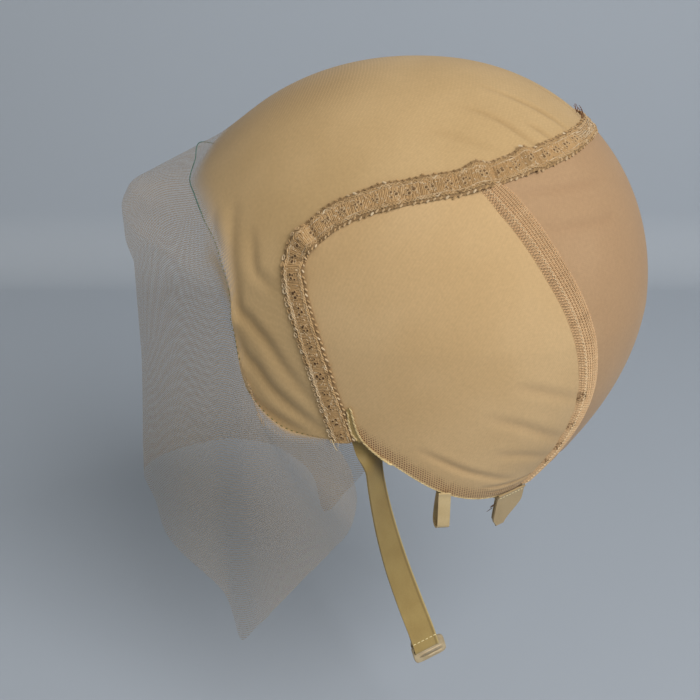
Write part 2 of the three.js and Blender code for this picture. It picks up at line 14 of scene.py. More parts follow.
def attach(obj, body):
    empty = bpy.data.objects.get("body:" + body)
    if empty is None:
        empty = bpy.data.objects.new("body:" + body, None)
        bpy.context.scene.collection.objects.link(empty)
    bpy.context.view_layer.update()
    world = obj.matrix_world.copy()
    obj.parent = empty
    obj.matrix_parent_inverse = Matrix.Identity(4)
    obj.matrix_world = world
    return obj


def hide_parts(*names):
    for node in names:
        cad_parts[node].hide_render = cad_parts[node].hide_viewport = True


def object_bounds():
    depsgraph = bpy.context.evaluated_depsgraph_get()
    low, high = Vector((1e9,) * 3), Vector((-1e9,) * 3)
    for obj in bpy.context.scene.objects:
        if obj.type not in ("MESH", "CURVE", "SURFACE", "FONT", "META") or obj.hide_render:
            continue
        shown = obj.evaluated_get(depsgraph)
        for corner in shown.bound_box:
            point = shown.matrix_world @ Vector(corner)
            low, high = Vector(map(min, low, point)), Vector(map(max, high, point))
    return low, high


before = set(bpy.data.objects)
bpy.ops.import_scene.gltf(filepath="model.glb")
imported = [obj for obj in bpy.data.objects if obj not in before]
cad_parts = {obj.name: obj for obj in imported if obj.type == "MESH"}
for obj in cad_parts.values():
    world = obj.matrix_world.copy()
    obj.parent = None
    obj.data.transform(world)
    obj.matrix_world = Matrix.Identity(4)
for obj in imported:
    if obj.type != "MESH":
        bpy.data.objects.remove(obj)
CAD_BOX = [list(corner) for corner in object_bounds()]

bl_info = {
    "name": "Lace Front Wig Cap",
    "version": (1, 0, 0),
    "blender": (4, 5, 0),
    "location": "3D View > Sidebar > Wig Cap",
    "description": "Builds a lace front wig cap with net panels, stretch trim, mesh tapes, loops and straps",
    "category": "Add Mesh",
}

MM = 0.001
LEAST_LENGTH, LEAST_CHORD = 1e-12, 1e-9
BODY = "root"
UV_NAME = "weave"
SHARP_ANGLE = 60.0
CLOTH_SPECULAR = 0.25
RIB_SCALE = 0.314
GRAIN_DEPTH, GRAIN_DETAIL = 0.22, 3.0
YARN_GRAIN = 0.5
RIB_SHADE = 0.18
# A strap's edge lines, by distance in from its edge: the dark painted shadow line rises and falls, the pale
# painted highlight line falls
SELVAGE_SHADOW_LINE, SELVAGE_SHADE = (0.5, 0.9, 1.7, 1.2), 0.25
SELVAGE_HIGHLIGHT_LINE, SELVAGE_SHINE = (0.6, 0.3), 0.28
LACE_HOLE_SHADE = 0.08
# The crown's lace is drawn tight from side to side, which makes its holes long
LACE_DRAW = (0.4, 1.0, 1.0)
# The crown's net shows more in front of the middle: sides and falls where it does, and how much
OPEN_SIDES, OPEN_FALLS, OPEN_SHADE = (0.08, 0.22), (0.4, 0.56), 0.34
VEIL_THREAD_COVER = 0.8
NET_HOLE_SHADE = 0.07
HEM_DOT_PITCH, HEM_DOT_SHADE, HEM_DOT_REACH = 1.05, 0.97, (8.0, 2.5)
HEM_RAGGED, HEM_RAGGED_SCALE = 6.0, 0.3
# Nets: rise of a row over the pitch, size of a hole and softness of its edge
LACE_NET = {"Rise": 1.0, "Hole": 0.33, "Softness": 0.1}
PANEL_NET = {"Rise": 1.732, "Hole": 0.3, "Softness": 0.2}
HEM_NET = {"Rise": 1.732, "Hole": 0.3, "Softness": 0.1}
# Finishes: roughness and sheen
LACE_FINISH, NET_FINISH, YARN_FINISH = (0.8, 0.1), (0.75, 0.1), (0.7, 0.1)
LOOP_FINISH, STRAP_FINISH = (0.6, 0.2), (0.55, 0.2)
PLASTIC_ROUGHNESS, PLASTIC_CLEARNESS, PLASTIC_SPECULAR, PLASTIC_IOR = 0.28, 0.3, 0.5, 1.46
STAGE_ROUGHNESS, STAGE_MOTTLE, STAGE_MOTTLE_SCALE, STAGE_MOTTLE_SHADE = 0.7, 0.2, 3.0, 0.8
# Scales of the slow mottle and of the grain, and the part of the noise that the mottle uses
CLOTH_GRAIN, YARN_GRAIN_SCALE, MOTTLE_RANGE = 900.0, 1400.0, (0.3, 0.7)
LACE_MOTTLE, NET_MOTTLE = (30.0, CLOTH_GRAIN), (22.0, CLOTH_GRAIN)
RIBBON_MOTTLE, PLASTIC_MOTTLE = (90.0, 1500.0), (260.0, 2200.0)
RIB_DISTORTION = 0.4
# Bumps: distance in metres and strength
LACE_BUMP, NET_BUMP, YARN_BUMP = (-0.0001, 0.15), (-0.00012, 0.25), (0.0001, 0.3)
RIB_BUMP, PLASTIC_BUMP = (0.00008, 0.5), (0.00005, 0.3)
NET_BUMP_SHARE = 0.4
# Sockets of a colour Mix node
MIX_FACTOR, MIX_FIRST, MIX_SECOND, MIX_RESULT = 0, 6, 7, 2

# Cloth and layers
CLOTH = 1.0
SKIN_LIFT = 1.3
NET_THICKNESS = 0.5
SEAM_GAP = 0.4

# The rounded form that the cap is stretched to: drop below the widest level, half width, front, back
FORM_ROUNDNESS = 2.1
CROWN_TO_WIDEST = 88.0
FORM_CENTRE = np.array([0.0, 0.0, -CROWN_TO_WIDEST])
FORM_LEVELS = np.array([(0, 75.5, 101, 88.5), (45, 70, 95, 74), (90, 58, 78, 36.5)], float)
SKIN_SEARCH = (0.2, 3.0, 40)
SLOPE_STEP = 0.05

# Seam routes as x, y, z rows, each from its upper or front end
TRIM_SEAM = np.array([
    (0, 61, -21), (15.5, 60, -21.5), (29.5, 56, -23), (42, 47.5, -25.5), (53, 34.5, -29),
    (60.5, 17, -33), (64.5, -1, -38), (67.5, -16, -45.5), (70, -27, -57), (72.5, -26, -69.5),
    (74.5, -21.7, -84), (74.5, -17, -99), (73, -12.6, -113.5), (71, -8.5, -128),
], float)
TAPE_SEAM = np.array([
    (53, 34.5, -29), (54.5, 50, -43), (53, 61, -59), (48.5, 69.5, -77),
    (43, 74, -97), (37.5, 73.5, -117), (34, 66, -139), (33, 52.5, -158),
], float)
SIDE_HEM = np.array([
    (71.7, -10, -121), (71, -2, -127), (68.5, 12, -137), (63, 25, -147), (49, 40.5, -155), (33, 52.5, -158),
], float)
NAPE_MIDDLE = np.array([0, 58, -159], float)
HAIRLINE = np.array([
    (0, -96, -39), (13, -92, -43), (24.5, -89, -47.5), (40, -79.5, -49.5),
    (51, -71, -54), (60, -61.5, -62), (65, -55.5, -74), (66, -54, -87),
    (66, -52.5, -101), (65.3, -48.5, -117), (67, -35, -128), (70.3, -13, -128),
], float)
STRAP_PATH = np.array([
    (72, -4.5, -116), (70.5, -1.5, -126), (69.9, 1, -135), (68, 3, -147), (67.8, 6.1, -162),
    (67.5, 10.8, -179), (67, 16.6, -196), (66.3, 22, -211), (66.1, 24.1, -217.7),
], float)
STRAP_LIFTS = (-1.5, -1.5, -1.7)
TAPE_HEAD_ROW = 4
TEMPLE_ROW = 8
EAR_ROW = len(TRIM_SEAM) - 1
EAR_ROWS_BACK = 0.5
EAR_SHARPNESS = 4
MIRROR = np.array([-1.0, 1.0, 1.0])

# The hanging lace: height, half width, front, and its cut edge as turn in degrees and height
VEIL_CENTRE_Y = -24.0
VEIL_SOFTNESS = 1.0
VEIL_LEVELS = np.array([
    (-242, 60, 125), (-200, 64, 127.5), (-175, 68, 126.5), (-130, 70.5, 123.5), (-84, 67, 124),
    (-76, 66, 127.5), (-62, 64.5, 128.5), (-56, 64, 127), (-39, 60, 96),
], float)
CUT_EDGE = np.array([
    (0, -194), (14, -193.5), (27, -196), (40, -199.5), (53, -205), (63, -218), (67.5, -242),
    (75, -227), (85, -203), (94, -182), (99, -168), (101, -154), (100, -141),
], float)
BROW_LEAD, EAR_LEAD, BROW_BEND, BROW_SETTLE = 0.72, 0.86, 2.0, 0.12
VEIL_GATHERING = 1.5
# The lace opens out past the hairline, and where it stands clear of the form
VEIL_FADE, VEIL_CLEAR = (0.99, 1.1), (0.15, 2.8)
VEIL_REACH, VEIL_SLANT = 85.0, 0.4
VEIL_WAVE_COUNT, VEIL_WAVE_HEIGHT, VEIL_WAVE_PHASE = 7, 2.6, 0.9
# The waves die out by the ears, and the creases at the trim
WAVE_END, LACE_EDGE = (0.82, 0.96), (0.0, 0.06)

# A crease is a line of places on a sheet, its depth, its width and how much painted shade darkens its groove
Crease = namedtuple("Crease", "line depth width shade")
TEMPLE_CREASES = (
    Crease(((0.375, 0.82), (0.505, 0.93), (0.6, 0.93), (0.685, 0.7), (0.75, 0.52), (0.807, 0.41),
            (0.93, 0.2)), 1.6, 3.2, 0.2),
    Crease(((0.64, 1.03), (0.728, 0.93), (0.785, 0.753), (0.84, 0.672), (0.893, 0.575),
            (0.97, 0.47)), 1.8, 3.2, 0.22),
    Crease(((0.45, 0.745), (0.54, 0.703), (0.615, 0.47), (0.66, 0.285)), 0.9, 2.8, 0.12),
    Crease(((0.36, 0.93), (0.42, 0.99), (0.47, 0.99)), 0.8, 2.8, 0.1),
    Crease(((0.8, 1.06), (0.87, 0.95), (0.95, 0.8)), 1.0, 2.8, 0.12),
)
CROWN_CREASES = (
    Crease(((0.176, 0.02), (0.163, 0.11), (0.155, 0.152), (0.148, 0.195), (0.143, 0.27)), 1.2, 1.15, 0.32),
    Crease(((0.073, 0.02), (0.073, 0.088), (0.074, 0.12), (0.075, 0.152), (0.078, 0.2),
            (0.08, 0.27)), 1.2, 1.15, 0.32),
    Crease(((0.133, 0.02), (0.128, 0.092), (0.126, 0.13)), 1.0, 1.1, 0.28),
    Crease(((0.225, 0.1), (0.215, 0.225), (0.21, 0.29)), 0.7, 1.8, 0.1),
    Crease(((-0.03, 0.02), (-0.028, 0.1), (-0.02, 0.2)), 0.8, 1.3, 0.2),
    Crease(((-0.12, 0.02), (-0.112, 0.12), (-0.1, 0.22)), 1.1, 1.2, 0.28),
    Crease(((-0.2, 0.02), (-0.19, 0.1), (-0.17, 0.2)), 0.9, 1.4, 0.2),
)
SIDE_CREASES = (
    Crease(((0.437, 0.143), (0.55, 0.13), (0.63, 0.117), (0.72, 0.103), (0.83, 0.08)), 0.9, 2.0, 0.16),
    Crease(((0.66, 0.31), (0.763, 0.28), (0.847, 0.243), (0.97, 0.19)), 0.8, 2.6, 0.13),
    Crease(((0.74, 0.41), (0.83, 0.38), (0.97, 0.32)), 0.6, 2.6, 0.1),
    Crease(((0.7, 0.19), (0.81, 0.177), (0.96, 0.13)), 0.6, 2.4, 0.1),
    Crease(((0.74, 0.055), (0.87, 0.058), (0.98, 0.065)), 0.8, 1.2, 0.2),
    Crease(((0.78, 0.03), (0.88, 0.035), (0.98, 0.04)), 0.7, 0.9, 0.2),
)
BACK_CREASES = (
    Crease(((0.03, 0.93), (0.18, 0.9), (0.34, 0.87)), 0.6, 2.0, 0.1),
    Crease(((0.03, 0.82), (0.17, 0.79), (0.3, 0.77)), 0.5, 2.2, 0.1),
    Crease(((0.97, 0.9), (0.82, 0.88), (0.68, 0.86)), 0.6, 2.2, 0.1),
    Crease(((0.04, 0.1), (0.3, 0.07), (0.5, 0.09)), 0.8, 2.0, 0.14),
    Crease(((0.96, 0.13), (0.75, 0.09), (0.58, 0.1)), 0.7, 2.0, 0.14),
)
CREASE_SAMPLES, CREASE_ENDS = 48, (0.02, 0.98)
CREASE_SHOULDER, CREASE_SHOULDER_WIDTH = 0.5, 2.2

# Grids of the sheets: points across and points down, over the crown and in the hanging length for the lace
LACE_GRID = (361, 111, 129)
SIDE_GRID = (151, 171)
BACK_GRID = (181, 161)
# Parts of their patches that the panels fill, across and up
SIDE_ACROSS, BACK_ACROSS, PANEL_UP = (0.004, 0.996), (0.006, 0.994), (0.003, 0.996)
ROUTE_SAMPLES = 2001

# Stretch lace trim
TRIM_WIDTH = 10.5
TRIM_GROUND_WIDTH, TRIM_GROUND_THICKNESS = 9.3, 0.35
TRIM_GROUND_GRID = (421, 9)
TRIM_GROUND_TONES, CROWN_GROUND_TONE = (0.42, 0.24), 0.26
TRIM_SEED = 7
# Step and size of the trim's slow ripples, up and sideways
TRIM_RIPPLE, TRIM_SWAY, TRIM_EDGE_DROP = (5.0, 0.1), (9.0, 0.16), 0.5
TRIM_STITCH = 2.2
PICOT_PLACE, PICOT_JITTER, PICOT_STATIONS = 4.45, 0.17, 12
# Tones of the edge loops at the rear, at the front and at the front by the ear, and where that is
PICOT_TONES, PICOT_EAR, PICOT_TONE_RANGE = (0.6, 0.48, 0.76), (0.5, 0.75), (0.3, 1.0)
# Their long and wide reach, slant and yarn radius: a dash, and a ring at the front edge by the ear
PICOT_DASH, PICOT_RING = (0.46, 0.14, 0.3, 0.27), (0.72, 0.6, 0.0, 0.27)
# Chain rows: their tones are those of the crown and of the ear; a wander is a step and a size
CHAIN_PLACE, CHAIN_SWAY, CHAIN_TONES = 3.2, 0.34, (0.53, 0.68)
CHAIN_END, CHAIN_STATIONS, CHAIN_RISE, CHAIN_CROSSING = 0.3, 7, 0.12, 0.14
CHAIN_WANDER, CHAIN_TONE_RANGE = (2.6, 0.14), (0.2, 1.0)
RUNNER_PLACE, RUNNER_RADIUS, RUNNER_TONE, RUNNER_RISE, RUNNER_END = 2.5, 0.18, 0.7, 0.05, 0.2
RUNNER_SWAY, RUNNER_WANDER, RUNNER_TONE_RANGE = (1.7, 0.07), (3.1, 0.14), (0.3, 1.0)
CROWN_RUNNERS, CROWN_RUNNER_RADIUS, CROWN_STATIONS = (-1.75, -0.9, 0.0, 0.9, 1.75), 0.27, 40
CROWN_REACH = 0.075
YARN_RADIUS = 0.27
YARN_LIFT = 0.5
CLUSTER_STEP = 6.2
CLUSTER_HOLES = ((-0.95, -0.2), (0.75, -0.65), (-0.45, 0.8), (0.95, 0.45))
CLUSTER_JITTER, CLUSTER_STATIONS = 0.22, 8
# Rings of an eyelet: size, yarn radius, rise, tone
CLUSTER_RINGS = ((0.55, 0.15, 0.08, 0.52), (0.2, 0.22, 0.12, 0.03))
CLUSTER_FADE = 0.15
RUNG_STEP, RUNG_REACH, RUNG_RADIUS, RUNG_TONE = 0.6, 2.4, 0.9, 0.45
RUNG_SINK, RUNG_SLANT = 0.72, 0.1
RUNG_JITTER, RUNG_STATIONS, RUNG_TONE_RANGE = 0.07, 5, (0.2, 0.8)
# Bright and dark flecks on the knitted ground
FLECK_COUNT, FLECK_LENGTH, FLECK_RADIUS, FLECK_TONES, FLECK_END = 2000, 0.8, 0.15, (0.05, 0.95), 0.5
# Where the trim bunches: signed share of the half length, width, height, spread, lean to the front
Pucker = namedtuple("Pucker", "place width height spread lean")
TRIM_PUCKERS = (
    Pucker(0.312, 0.018, 1.0, 0.7, 0.9), Pucker(0.225, 0.015, 0.9, 0.6, 1.1),
    Pucker(0.588, 0.014, 1.1, 0.1, 0.0), Pucker(0.66, 0.02, 0.7, -0.3, 0.2),
    Pucker(0.44, 0.02, 0.4, 0.3, 0.3), Pucker(-0.28, 0.018, 0.9, 0.7, 0.8),
    Pucker(-0.59, 0.015, 1.0, 0.1, 0.0), Pucker(-0.42, 0.02, 0.5, 0.4, 0.3),
)
PLEAT_DEPTH, PLEAT_OFFSET, PLEAT_WIDTH, PLEAT_FLOOR = 0.9, 1.3, 0.45, 0.55
# Over the middle of the crown the trim is stretched narrower and pulled to the rear
CROWN_STRETCH = Pucker(0.0, 0.11, -0.5, -1.1, -1.3)

# Mesh tapes
TAPE_WIDTH = 8.8
TAPE_GROUND_WIDTH, TAPE_GROUND_THICKNESS = 8.0, 0.2
TAPE_GROUND_GRID = (121, 9)
NET_PITCH = 1.15
NET_ROW_RISE = 0.866
NET_RADIUS, NET_RISE = 0.24, 0.7
# Corners of a thread of the net along one pitch, and its sway as a share of a row
NET_CORNERS, NET_SWAY = (0.0, 0.34, 0.5, 0.84), 0.84
NET_TONE, NET_WANDER, NET_MARGIN, TAPE_GROUND_TONES = 0.56, (2.3, 0.08), 0.2, (0.3, 0.17)
TAPE_SPLIT, TAPE_GAP = 1.75, 0.4
TAPE_START, TAPE_END, TAPE_LIFT, TAPE_EDGE_DROP = 0.017, 0.985, 0.95, 0.55
# How deep a tape's head is tucked under the trim, and where it comes out
TAPE_TUCK, TAPE_TUCK_REACH = 0.3, (3.0, 12.0)
# Shares of a tape's way where its net is gathered and darker, with their width, shade and sideways range
TAPE_GATHERS = (0.645, 0.755, 0.835, 0.905)
GATHER_WIDTH, GATHER_SHADE, GATHER_SIDE = 0.02, 0.7, (-1.0, 1.5)
ZIGZAG_STEP, ZIGZAG_SWAY, ZIGZAG_RADIUS, ZIGZAG_END, ZIGZAG_TONE = 1.7, 0.45, 0.19, 0.4, 0.97

# Hem cord
CORD_STRAND, CORD_OFFSET, CORD_TWIST = 0.28, 0.19, 3.0
CORD_STATIONS, CORD_SIDES = 10, 6
CORD_EAR_START, CORD_SIDE_SHARE = 0.31, 0.38
CORD_TONE, CORD_WANDER, CORD_TONE_RANGE = 0.86, (4.0, 0.1), (0.5, 1.0)
# Free ends at the ear: way up the trim, way behind it, and places and clearances on the hem
Tail = namedtuple("Tail", "rise aside hem")
TAILS = (
    Tail(14.5, 7.3, ((0.2, 2.6), (0.31, 0.0), (0.36, 0.0))),
    Tail(13.0, 5.7, ((0.12, 1.8), (0.17, 0.2))),
)
STRAP_HEAD = Tail(14.0, 6.5, ((0.16, 2.2), (0.2, 0.8)))
STRAP_HEAD_WIDTH, STRAP_HEAD_THICKNESS, STRAP_HEAD_GRID = 1.8, 0.3, (24, 3)

# Ribbon loops: place on the side hem, width, drop, rise, lifts outside and inside, sway out, skew at the
# bend, taper, and whether a stitch row shows
Loop = namedtuple("Loop", "place width drop rise lift inner sway skew taper stitched")
HEM_LOOP = Loop(0.628, 4.6, 14, 1.4, 1.9, -2.2, 0.3, -1.1, 0.0, False)
NAPE_TAB = Loop(0.925, 14.6, 13.2, 1.6, 1.1, 0.0, 0.45, 0.4, 0.55, True)
# Painted shade on a loop's inner ply, which lies in shadow between the plies; then its rounding and taper
LOOP_INNER_SHADE, LOOP_ROUND, LOOP_ROUND_START, LOOP_TAPER_START = 0.32, 0.32, 0.62, 0.3
# Points down outside, round the bend and up inside, and how many before the end are in full shade
LOOP_OUTSIDE, LOOP_BEND, LOOP_INSIDE, LOOP_SHADED = 14, 13, 10, 5
RIBBON_THICKNESS, RIBBON_LANES, RIBBON_RIM = 0.7, 8, (0.38, 0.45)

# Straps and hooks
STRAP_WIDTH, STRAP_THICKNESS = 10.5, 0.6
STRAP_LANES, STRAP_RIM = 20, 0.05
# The folded end: points down the strap, round the fold and back up, and where the back ply closes on it
STRAP_FOLD_RADIUS, STRAP_FOLD_LENGTH, STRAP_FOLD_START, STRAP_FOLD_GAP = 1.45, 7.5, 0.5, 0.15
STRAP_STATIONS, STRAP_FOLD_CLOSE = (110, 12, 14), (1.2, 2.5)
# Turn of the strap's face to the rear, and part of the way back: degrees and shares of its way down
TWIST_START, TWIST_HIGH_TURN, TWIST_HIGH, TWIST_LOW_TURN, TWIST_LOW = 0.13, 75.0, 0.31, 42.0, 0.88
# Its upper half is in the shade of the cap
STRAP_SHADE, STRAP_SHADED = 0.27, (0.45, 0.85)
# Stitch rows: place, share of the ribbon's width, and step, length and radius of the stitches
STITCH_ROW_PLACE, STRAP_STITCH_WIDTH, STRAP_STITCH = 5.0, 0.97, (1.75, 1.15, 0.18)
TAB_STITCH_RISE, TAB_STITCH_WIDTH, TAB_STITCH = 0.2, 0.86, (1.5, 1.0, 0.16)
STITCH_BOW, STITCH_PROFILE = 0.12, (0.55, 1.0, 1.0, 1.0, 0.55)
HOOK_AIM = 0.95
HOOK_WIDTH, HOOK_HEIGHT, HOOK_THICKNESS, HOOK_CORNER = 14.0, 8.0, 1.4, 2.2
HOOK_SLOT_WIDTH, HOOK_SLOT_HEIGHT, HOOK_OVERLAP, HOOK_ASIDE, HOOK_GAP = 10.7, 2.0, 3.5, 1.0, 0.3
HOOK_SLOT_CORNER, CORNER_SHARPNESS = 0.7, 1.6
# Points round a hook and round its section, and the powers that square the section
HOOK_STATIONS, HOOK_SECTION, HOOK_SQUARENESS = 64, 20, (0.35, 0.55)
# Painted shade in the hook's grooves, and the plate's tone between that and the ribs' painted highlight
HOOK_GROOVE_SHADE, HOOK_PLATE_TONE = 0.45, 0.62
# Raised ribs of a hook: place along it from its middle, start across it, width, radius, tone; a tone of 1
# is a painted highlight on a rib, and 0 makes a dark rib that is painted shade standing for a groove
Rib = namedtuple("Rib", "place start width radius tone")
HOOK_RIBS = (
    Rib(0.5, -6.0, 11.4, 0.5, 1.0), Rib(1.5, -5.8, 11.0, 0.42, 0.0), Rib(2.5, -5.2, 8.0, 0.5, 1.0),
)
RIB_STATIONS, RIB_SIDES, RIB_SINK, RIB_TAPER = 9, 6, 0.85, (1.02, 0.02)

# Hairline thread: step, length of a stitch at the forehead and at the temples, radius, lift, where it fades
MARKING_STEP, MARKING_LONG, MARKING_SHORT, MARKING_RADIUS, MARKING_LIFT = 2.3, 2.2, 0.9, 0.19, 0.2
MARKING_FADE = (0.26, 0.55)
# It is laid along the middle one of three falls, from side to side
MARKING_FALLS, MARKING_REACH, MARKING_SAMPLES, MARKING_START = (0.985, 1.0, 1.015), 0.985, 4001, 0.5
MARKING_PROFILE = (0.6, 1.0, 1.0, 1.0, 1.0, 0.6)

# Loose ends on the trim: signed share of the half length, place, leans along and aside, length, tone
LooseEnd = namedtuple("LooseEnd", "place sideways lean aside length tone")
LOOSE_ENDS = (
    LooseEnd(-0.03, 4.4, 0.3, 0.8, 4.8, 0.3), LooseEnd(-0.045, 4.8, -0.2, 0.9, 4.2, 0.2),
    LooseEnd(-0.02, 5.2, 0.2, 1.0, 5.0, 0.35), LooseEnd(-0.055, 5.4, -0.3, 0.8, 4.4, 0.3),
    LooseEnd(-0.035, 6.8, 0.3, 0.7, 4.0, 0.2), LooseEnd(-0.045, 8.2, -0.3, 0.8, 3.8, 0.35),
    LooseEnd(-0.025, 8.6, 0.2, 0.9, 3.6, 0.3), LooseEnd(-0.05, 9.6, 0.3, 0.6, 3.2, 0.4),
    LooseEnd(0.992, 4.2, 0.9, -0.4, 4.2, 1.0), LooseEnd(0.996, 1.8, 1.0, 0.2, 1.8, 0.8),
    LooseEnd(-0.994, 3.4, -0.9, -0.3, 3.6, 1.0),
)
# Wisps at the front edge of a nape tab: places along and down from its middle, their leans and length
Wisp = namedtuple("Wisp", "along down lean fall length")
WISPS = (
    Wisp(-6.0, 2.0, -0.9, 0.5, 3.6), Wisp(-5.6, 3.0, -0.9, 0.4, 3.2), Wisp(-5.8, 3.8, -0.8, 0.5, 3.2),
    Wisp(-5.2, 2.4, -1.0, 0.2, 2.8), Wisp(-6.4, 6.6, -0.8, 0.8, 2.4),
)
WISP_LIFT, WISP_TONE = 2.0, 0.04
LOOSE_RADIUS, LOOSE_THINNING, LOOSE_RISE, LOOSE_DROOP, LOOSE_STATIONS = 0.15, 0.07, 0.85, 0.45, 8

# Lights: turn and height as seen round the cap, distance, size, power, colour
Light = namedtuple("Light", "name turn rise distance size power colour")
LIGHTS = (
    Light("key", 142, 40, 1.5, 0.9, 18.5, (1.0, 1.0, 1.0)),
    Light("fill", 55, 25, 1.7, 1.6, 2.8, (0.97, 0.93, 0.85)),
    Light("rim", 250, 45, 1.6, 1.0, 1.2, (0.97, 0.98, 1.0)),
)
WORLD_COLOUR, WORLD_STRENGTH = (0.95, 0.91, 0.8), 0.195
# The floor's profile in metres: its bend up to the backdrop, its front end and the backdrop's height
FLOOR_BEND, FLOOR_BEND_STATIONS, FLOOR_FRONT, BACKDROP_HEIGHT = 0.06, 13, -2.5, 3.0

# Camera: turn round the cap, height, distance, how far the aim lies below the crown and to the left, lens
VIEW_TURN, VIEW_HEIGHT, VIEW_DISTANCE = 108.6, 23.04, 471.27
VIEW_DROP, VIEW_SHIFT = 118.96, -28.91
LENS, SENSOR, CLIP_START = 57.98, 36.0, 0.01


def srgb(red, green, blue):
    """A colour given in display steps of 255, as the linear colour that shaders use."""
    steps = np.array([red, green, blue]) / 255.0
    linear = np.where(steps <= 0.04045, steps / 12.92, ((steps + 0.055) / 1.055) ** 2.4)
    return tuple(float(part) for part in linear)


def smoothstep(value, low, high):
    """Rises from 0 at low to 1 at high with level ends."""
    share = np.clip((value - low) / (high - low), 0, 1)
    return share * share * (3 - 2 * share)


def wander(distance, seed, step, size):
    """A smooth seeded wobble along a distance: random heights at even steps, eased from each to the next."""
    place = np.maximum(distance, 0) / step
    start = np.floor(place).astype(int)
    heights = np.random.default_rng(seed).normal(0.0, size, int(start.max()) + 2)
    ease = smoothstep(place - start, 0.0, 1.0)
    return heights[start] * (1 - ease) + heights[start + 1] * ease


def bell(distance, width):
    """Falls from 1 at no distance, as a bell curve."""
    return np.exp(-((distance / width) ** 2))


def unit(vectors):
    """Vectors of length 1."""
    return vectors / np.maximum(np.linalg.norm(vectors, axis=-1, keepdims=True), LEAST_LENGTH)


def walked(points):
    """Distances walked along a row of points from its first one."""
    return np.concatenate([[0], np.cumsum(np.linalg.norm(np.diff(points, axis=0), axis=-1))])


def read_along(distance, way, values):
    """Vectors given at distances of a way, read at other distances."""
    return np.stack([np.interp(distance, way, values[:, axis]) for axis in range(3)], -1)


def curve(rows, place):
    """Centripetal Catmull-Rom curve through rows, read at row numbers: each stretch is the cubic whose end
    slopes come from the chords on both sides, weighted by the square roots of their lengths."""
    ends = np.vstack([2 * rows[0] - rows[1], rows, 2 * rows[-1] - rows[-2]])
    place = np.asarray(place, float)
    index = np.clip(np.floor(place).astype(int), 0, len(rows) - 2)
    share = (place - index)[..., None]
    before, start, end, after = (ends[index + step] for step in range(4))
    first, second, third = (
        np.sqrt(np.maximum(np.linalg.norm(b - a, axis=-1, keepdims=True), LEAST_CHORD))
        for a, b in ((before, start), (start, end), (end, after))
    )
    leave = ((start - before) / first - (end - before) / (first + second) + (end - start) / second) * second
    arrive = ((end - start) / second - (after - start) / (second + third) + (after - end) / third) * second
    square = -3 * start + 3 * end - 2 * leave - arrive
    cube = 2 * start - 2 * end + leave + arrive
    return start + leave * share + square * share ** 2 + cube * share ** 3


def middle_curve(rows, place):
    """The same curve for a route that starts on the middle plane and crosses it square."""
    return curve(np.vstack([rows[1] * MIRROR[: rows.shape[1]], rows]), np.asarray(place) + 1)


def form_level(drop):
    """Half width, front and back of the form at a drop: the quadratics through its three levels."""
    step = (drop / FORM_LEVELS[1, 0])[..., None]
    top, middle, low = FORM_LEVELS[:, 1:]
    bend = (low - 2 * middle + top) / 2
    return top + (middle - top - bend) * step + bend * step ** 2


def form_fill(points):
    """1 on the form's skin: the sum of the powers of each coordinate over its reach."""
    level = form_level(np.maximum(0, -points[..., 2] - CROWN_TO_WIDEST))
    reach = np.where(points[..., 1] < 0, level[..., 1], level[..., 2])
    rise = np.maximum(0, 1 + points[..., 2] / CROWN_TO_WIDEST)
    power = FORM_ROUNDNESS
    return (np.abs(points[..., 0] / level[..., 0]) ** power
            + np.abs(points[..., 1] / reach) ** power + rise ** power)


def form_normal(points):
    """The skin's outward direction, from the slope of the fill."""
    steps = SLOPE_STEP * np.eye(3)
    return unit(np.stack([form_fill(points + step) - form_fill(points - step) for step in steps], -1))


def on_form(points, lift=0.0):
    """The skin's points in line with points from the form's centre, raised by a lift along the normal."""
    rays = points - FORM_CENTRE
    near = np.full(points.shape[:-1], SKIN_SEARCH[0])
    far = np.full(points.shape[:-1], SKIN_SEARCH[1])
    for _ in range(SKIN_SEARCH[2]):
        middle = (near + far) / 2
        inside = form_fill(FORM_CENTRE + rays * middle[..., None]) < 1
        near = np.where(inside, middle, near)
        far = np.where(inside, far, middle)
    skin = FORM_CENTRE + rays * near[..., None]
    return skin + form_normal(skin) * np.asarray(lift)[..., None]


def veil_level(height):
    """Half width and depth of the hanging lace at a height, with its corners softened."""
    heights, halves, fronts = VEIL_LEVELS.T
    spread = [height + step for step in (-VEIL_SOFTNESS, 0.0, VEIL_SOFTNESS)]
    half = np.mean([np.interp(level, heights, halves) for level in spread], 0)
    front = np.mean([np.interp(level, heights, fronts) for level in spread], 0)
    return half, front + VEIL_CENTRE_Y


def on_veil(turn, height):
    """A point of the hanging lace: an ellipse at each height, read at a turn from the front."""
    half, depth = veil_level(height)
    return np.stack([half * np.sin(turn), VEIL_CENTRE_Y - depth * np.cos(turn), height], -1)


def lace_half(share, fall):
    """Left half of the lace: share runs from the middle to the ear, fall is 0 at the trim, 1 at the hairline
    and 2 at the cut edge. It lies on the form, leaves it near the hairline and then hangs on the veil."""
    seam = middle_curve(TRIM_SEAM, share * EAR_ROW)
    brow = middle_curve(HAIRLINE, share * (len(HAIRLINE) - 1))
    crown_fall = np.minimum(fall, 1)[..., None]
    start = (BROW_LEAD + (EAR_LEAD - BROW_LEAD) * share)[..., None]
    lead = np.maximum(0, (crown_fall - start) / (1 - start)) ** BROW_BEND
    crown = on_form(seam + (brow - seam) * crown_fall) + (brow - on_form(brow)) * lead
    hang = np.maximum(0, fall - 1)
    cut = curve(CUT_EDGE, share * (len(CUT_EDGE) - 1))
    half, depth = veil_level(brow[..., 2])
    brow_turn = np.arctan2(brow[..., 0] / half, (VEIL_CENTRE_Y - brow[..., 1]) / depth)
    step = brow - on_veil(brow_turn, brow[..., 2])
    settle = np.maximum(0, 1 - hang / BROW_SETTLE)[..., None]
    turn = brow_turn + (np.radians(cut[..., 0]) - brow_turn) * hang
    height = brow[..., 2] + (cut[..., 1] - brow[..., 2]) * hang
    return np.where((fall <= 1)[..., None], crown, on_veil(turn, height) + step * settle)


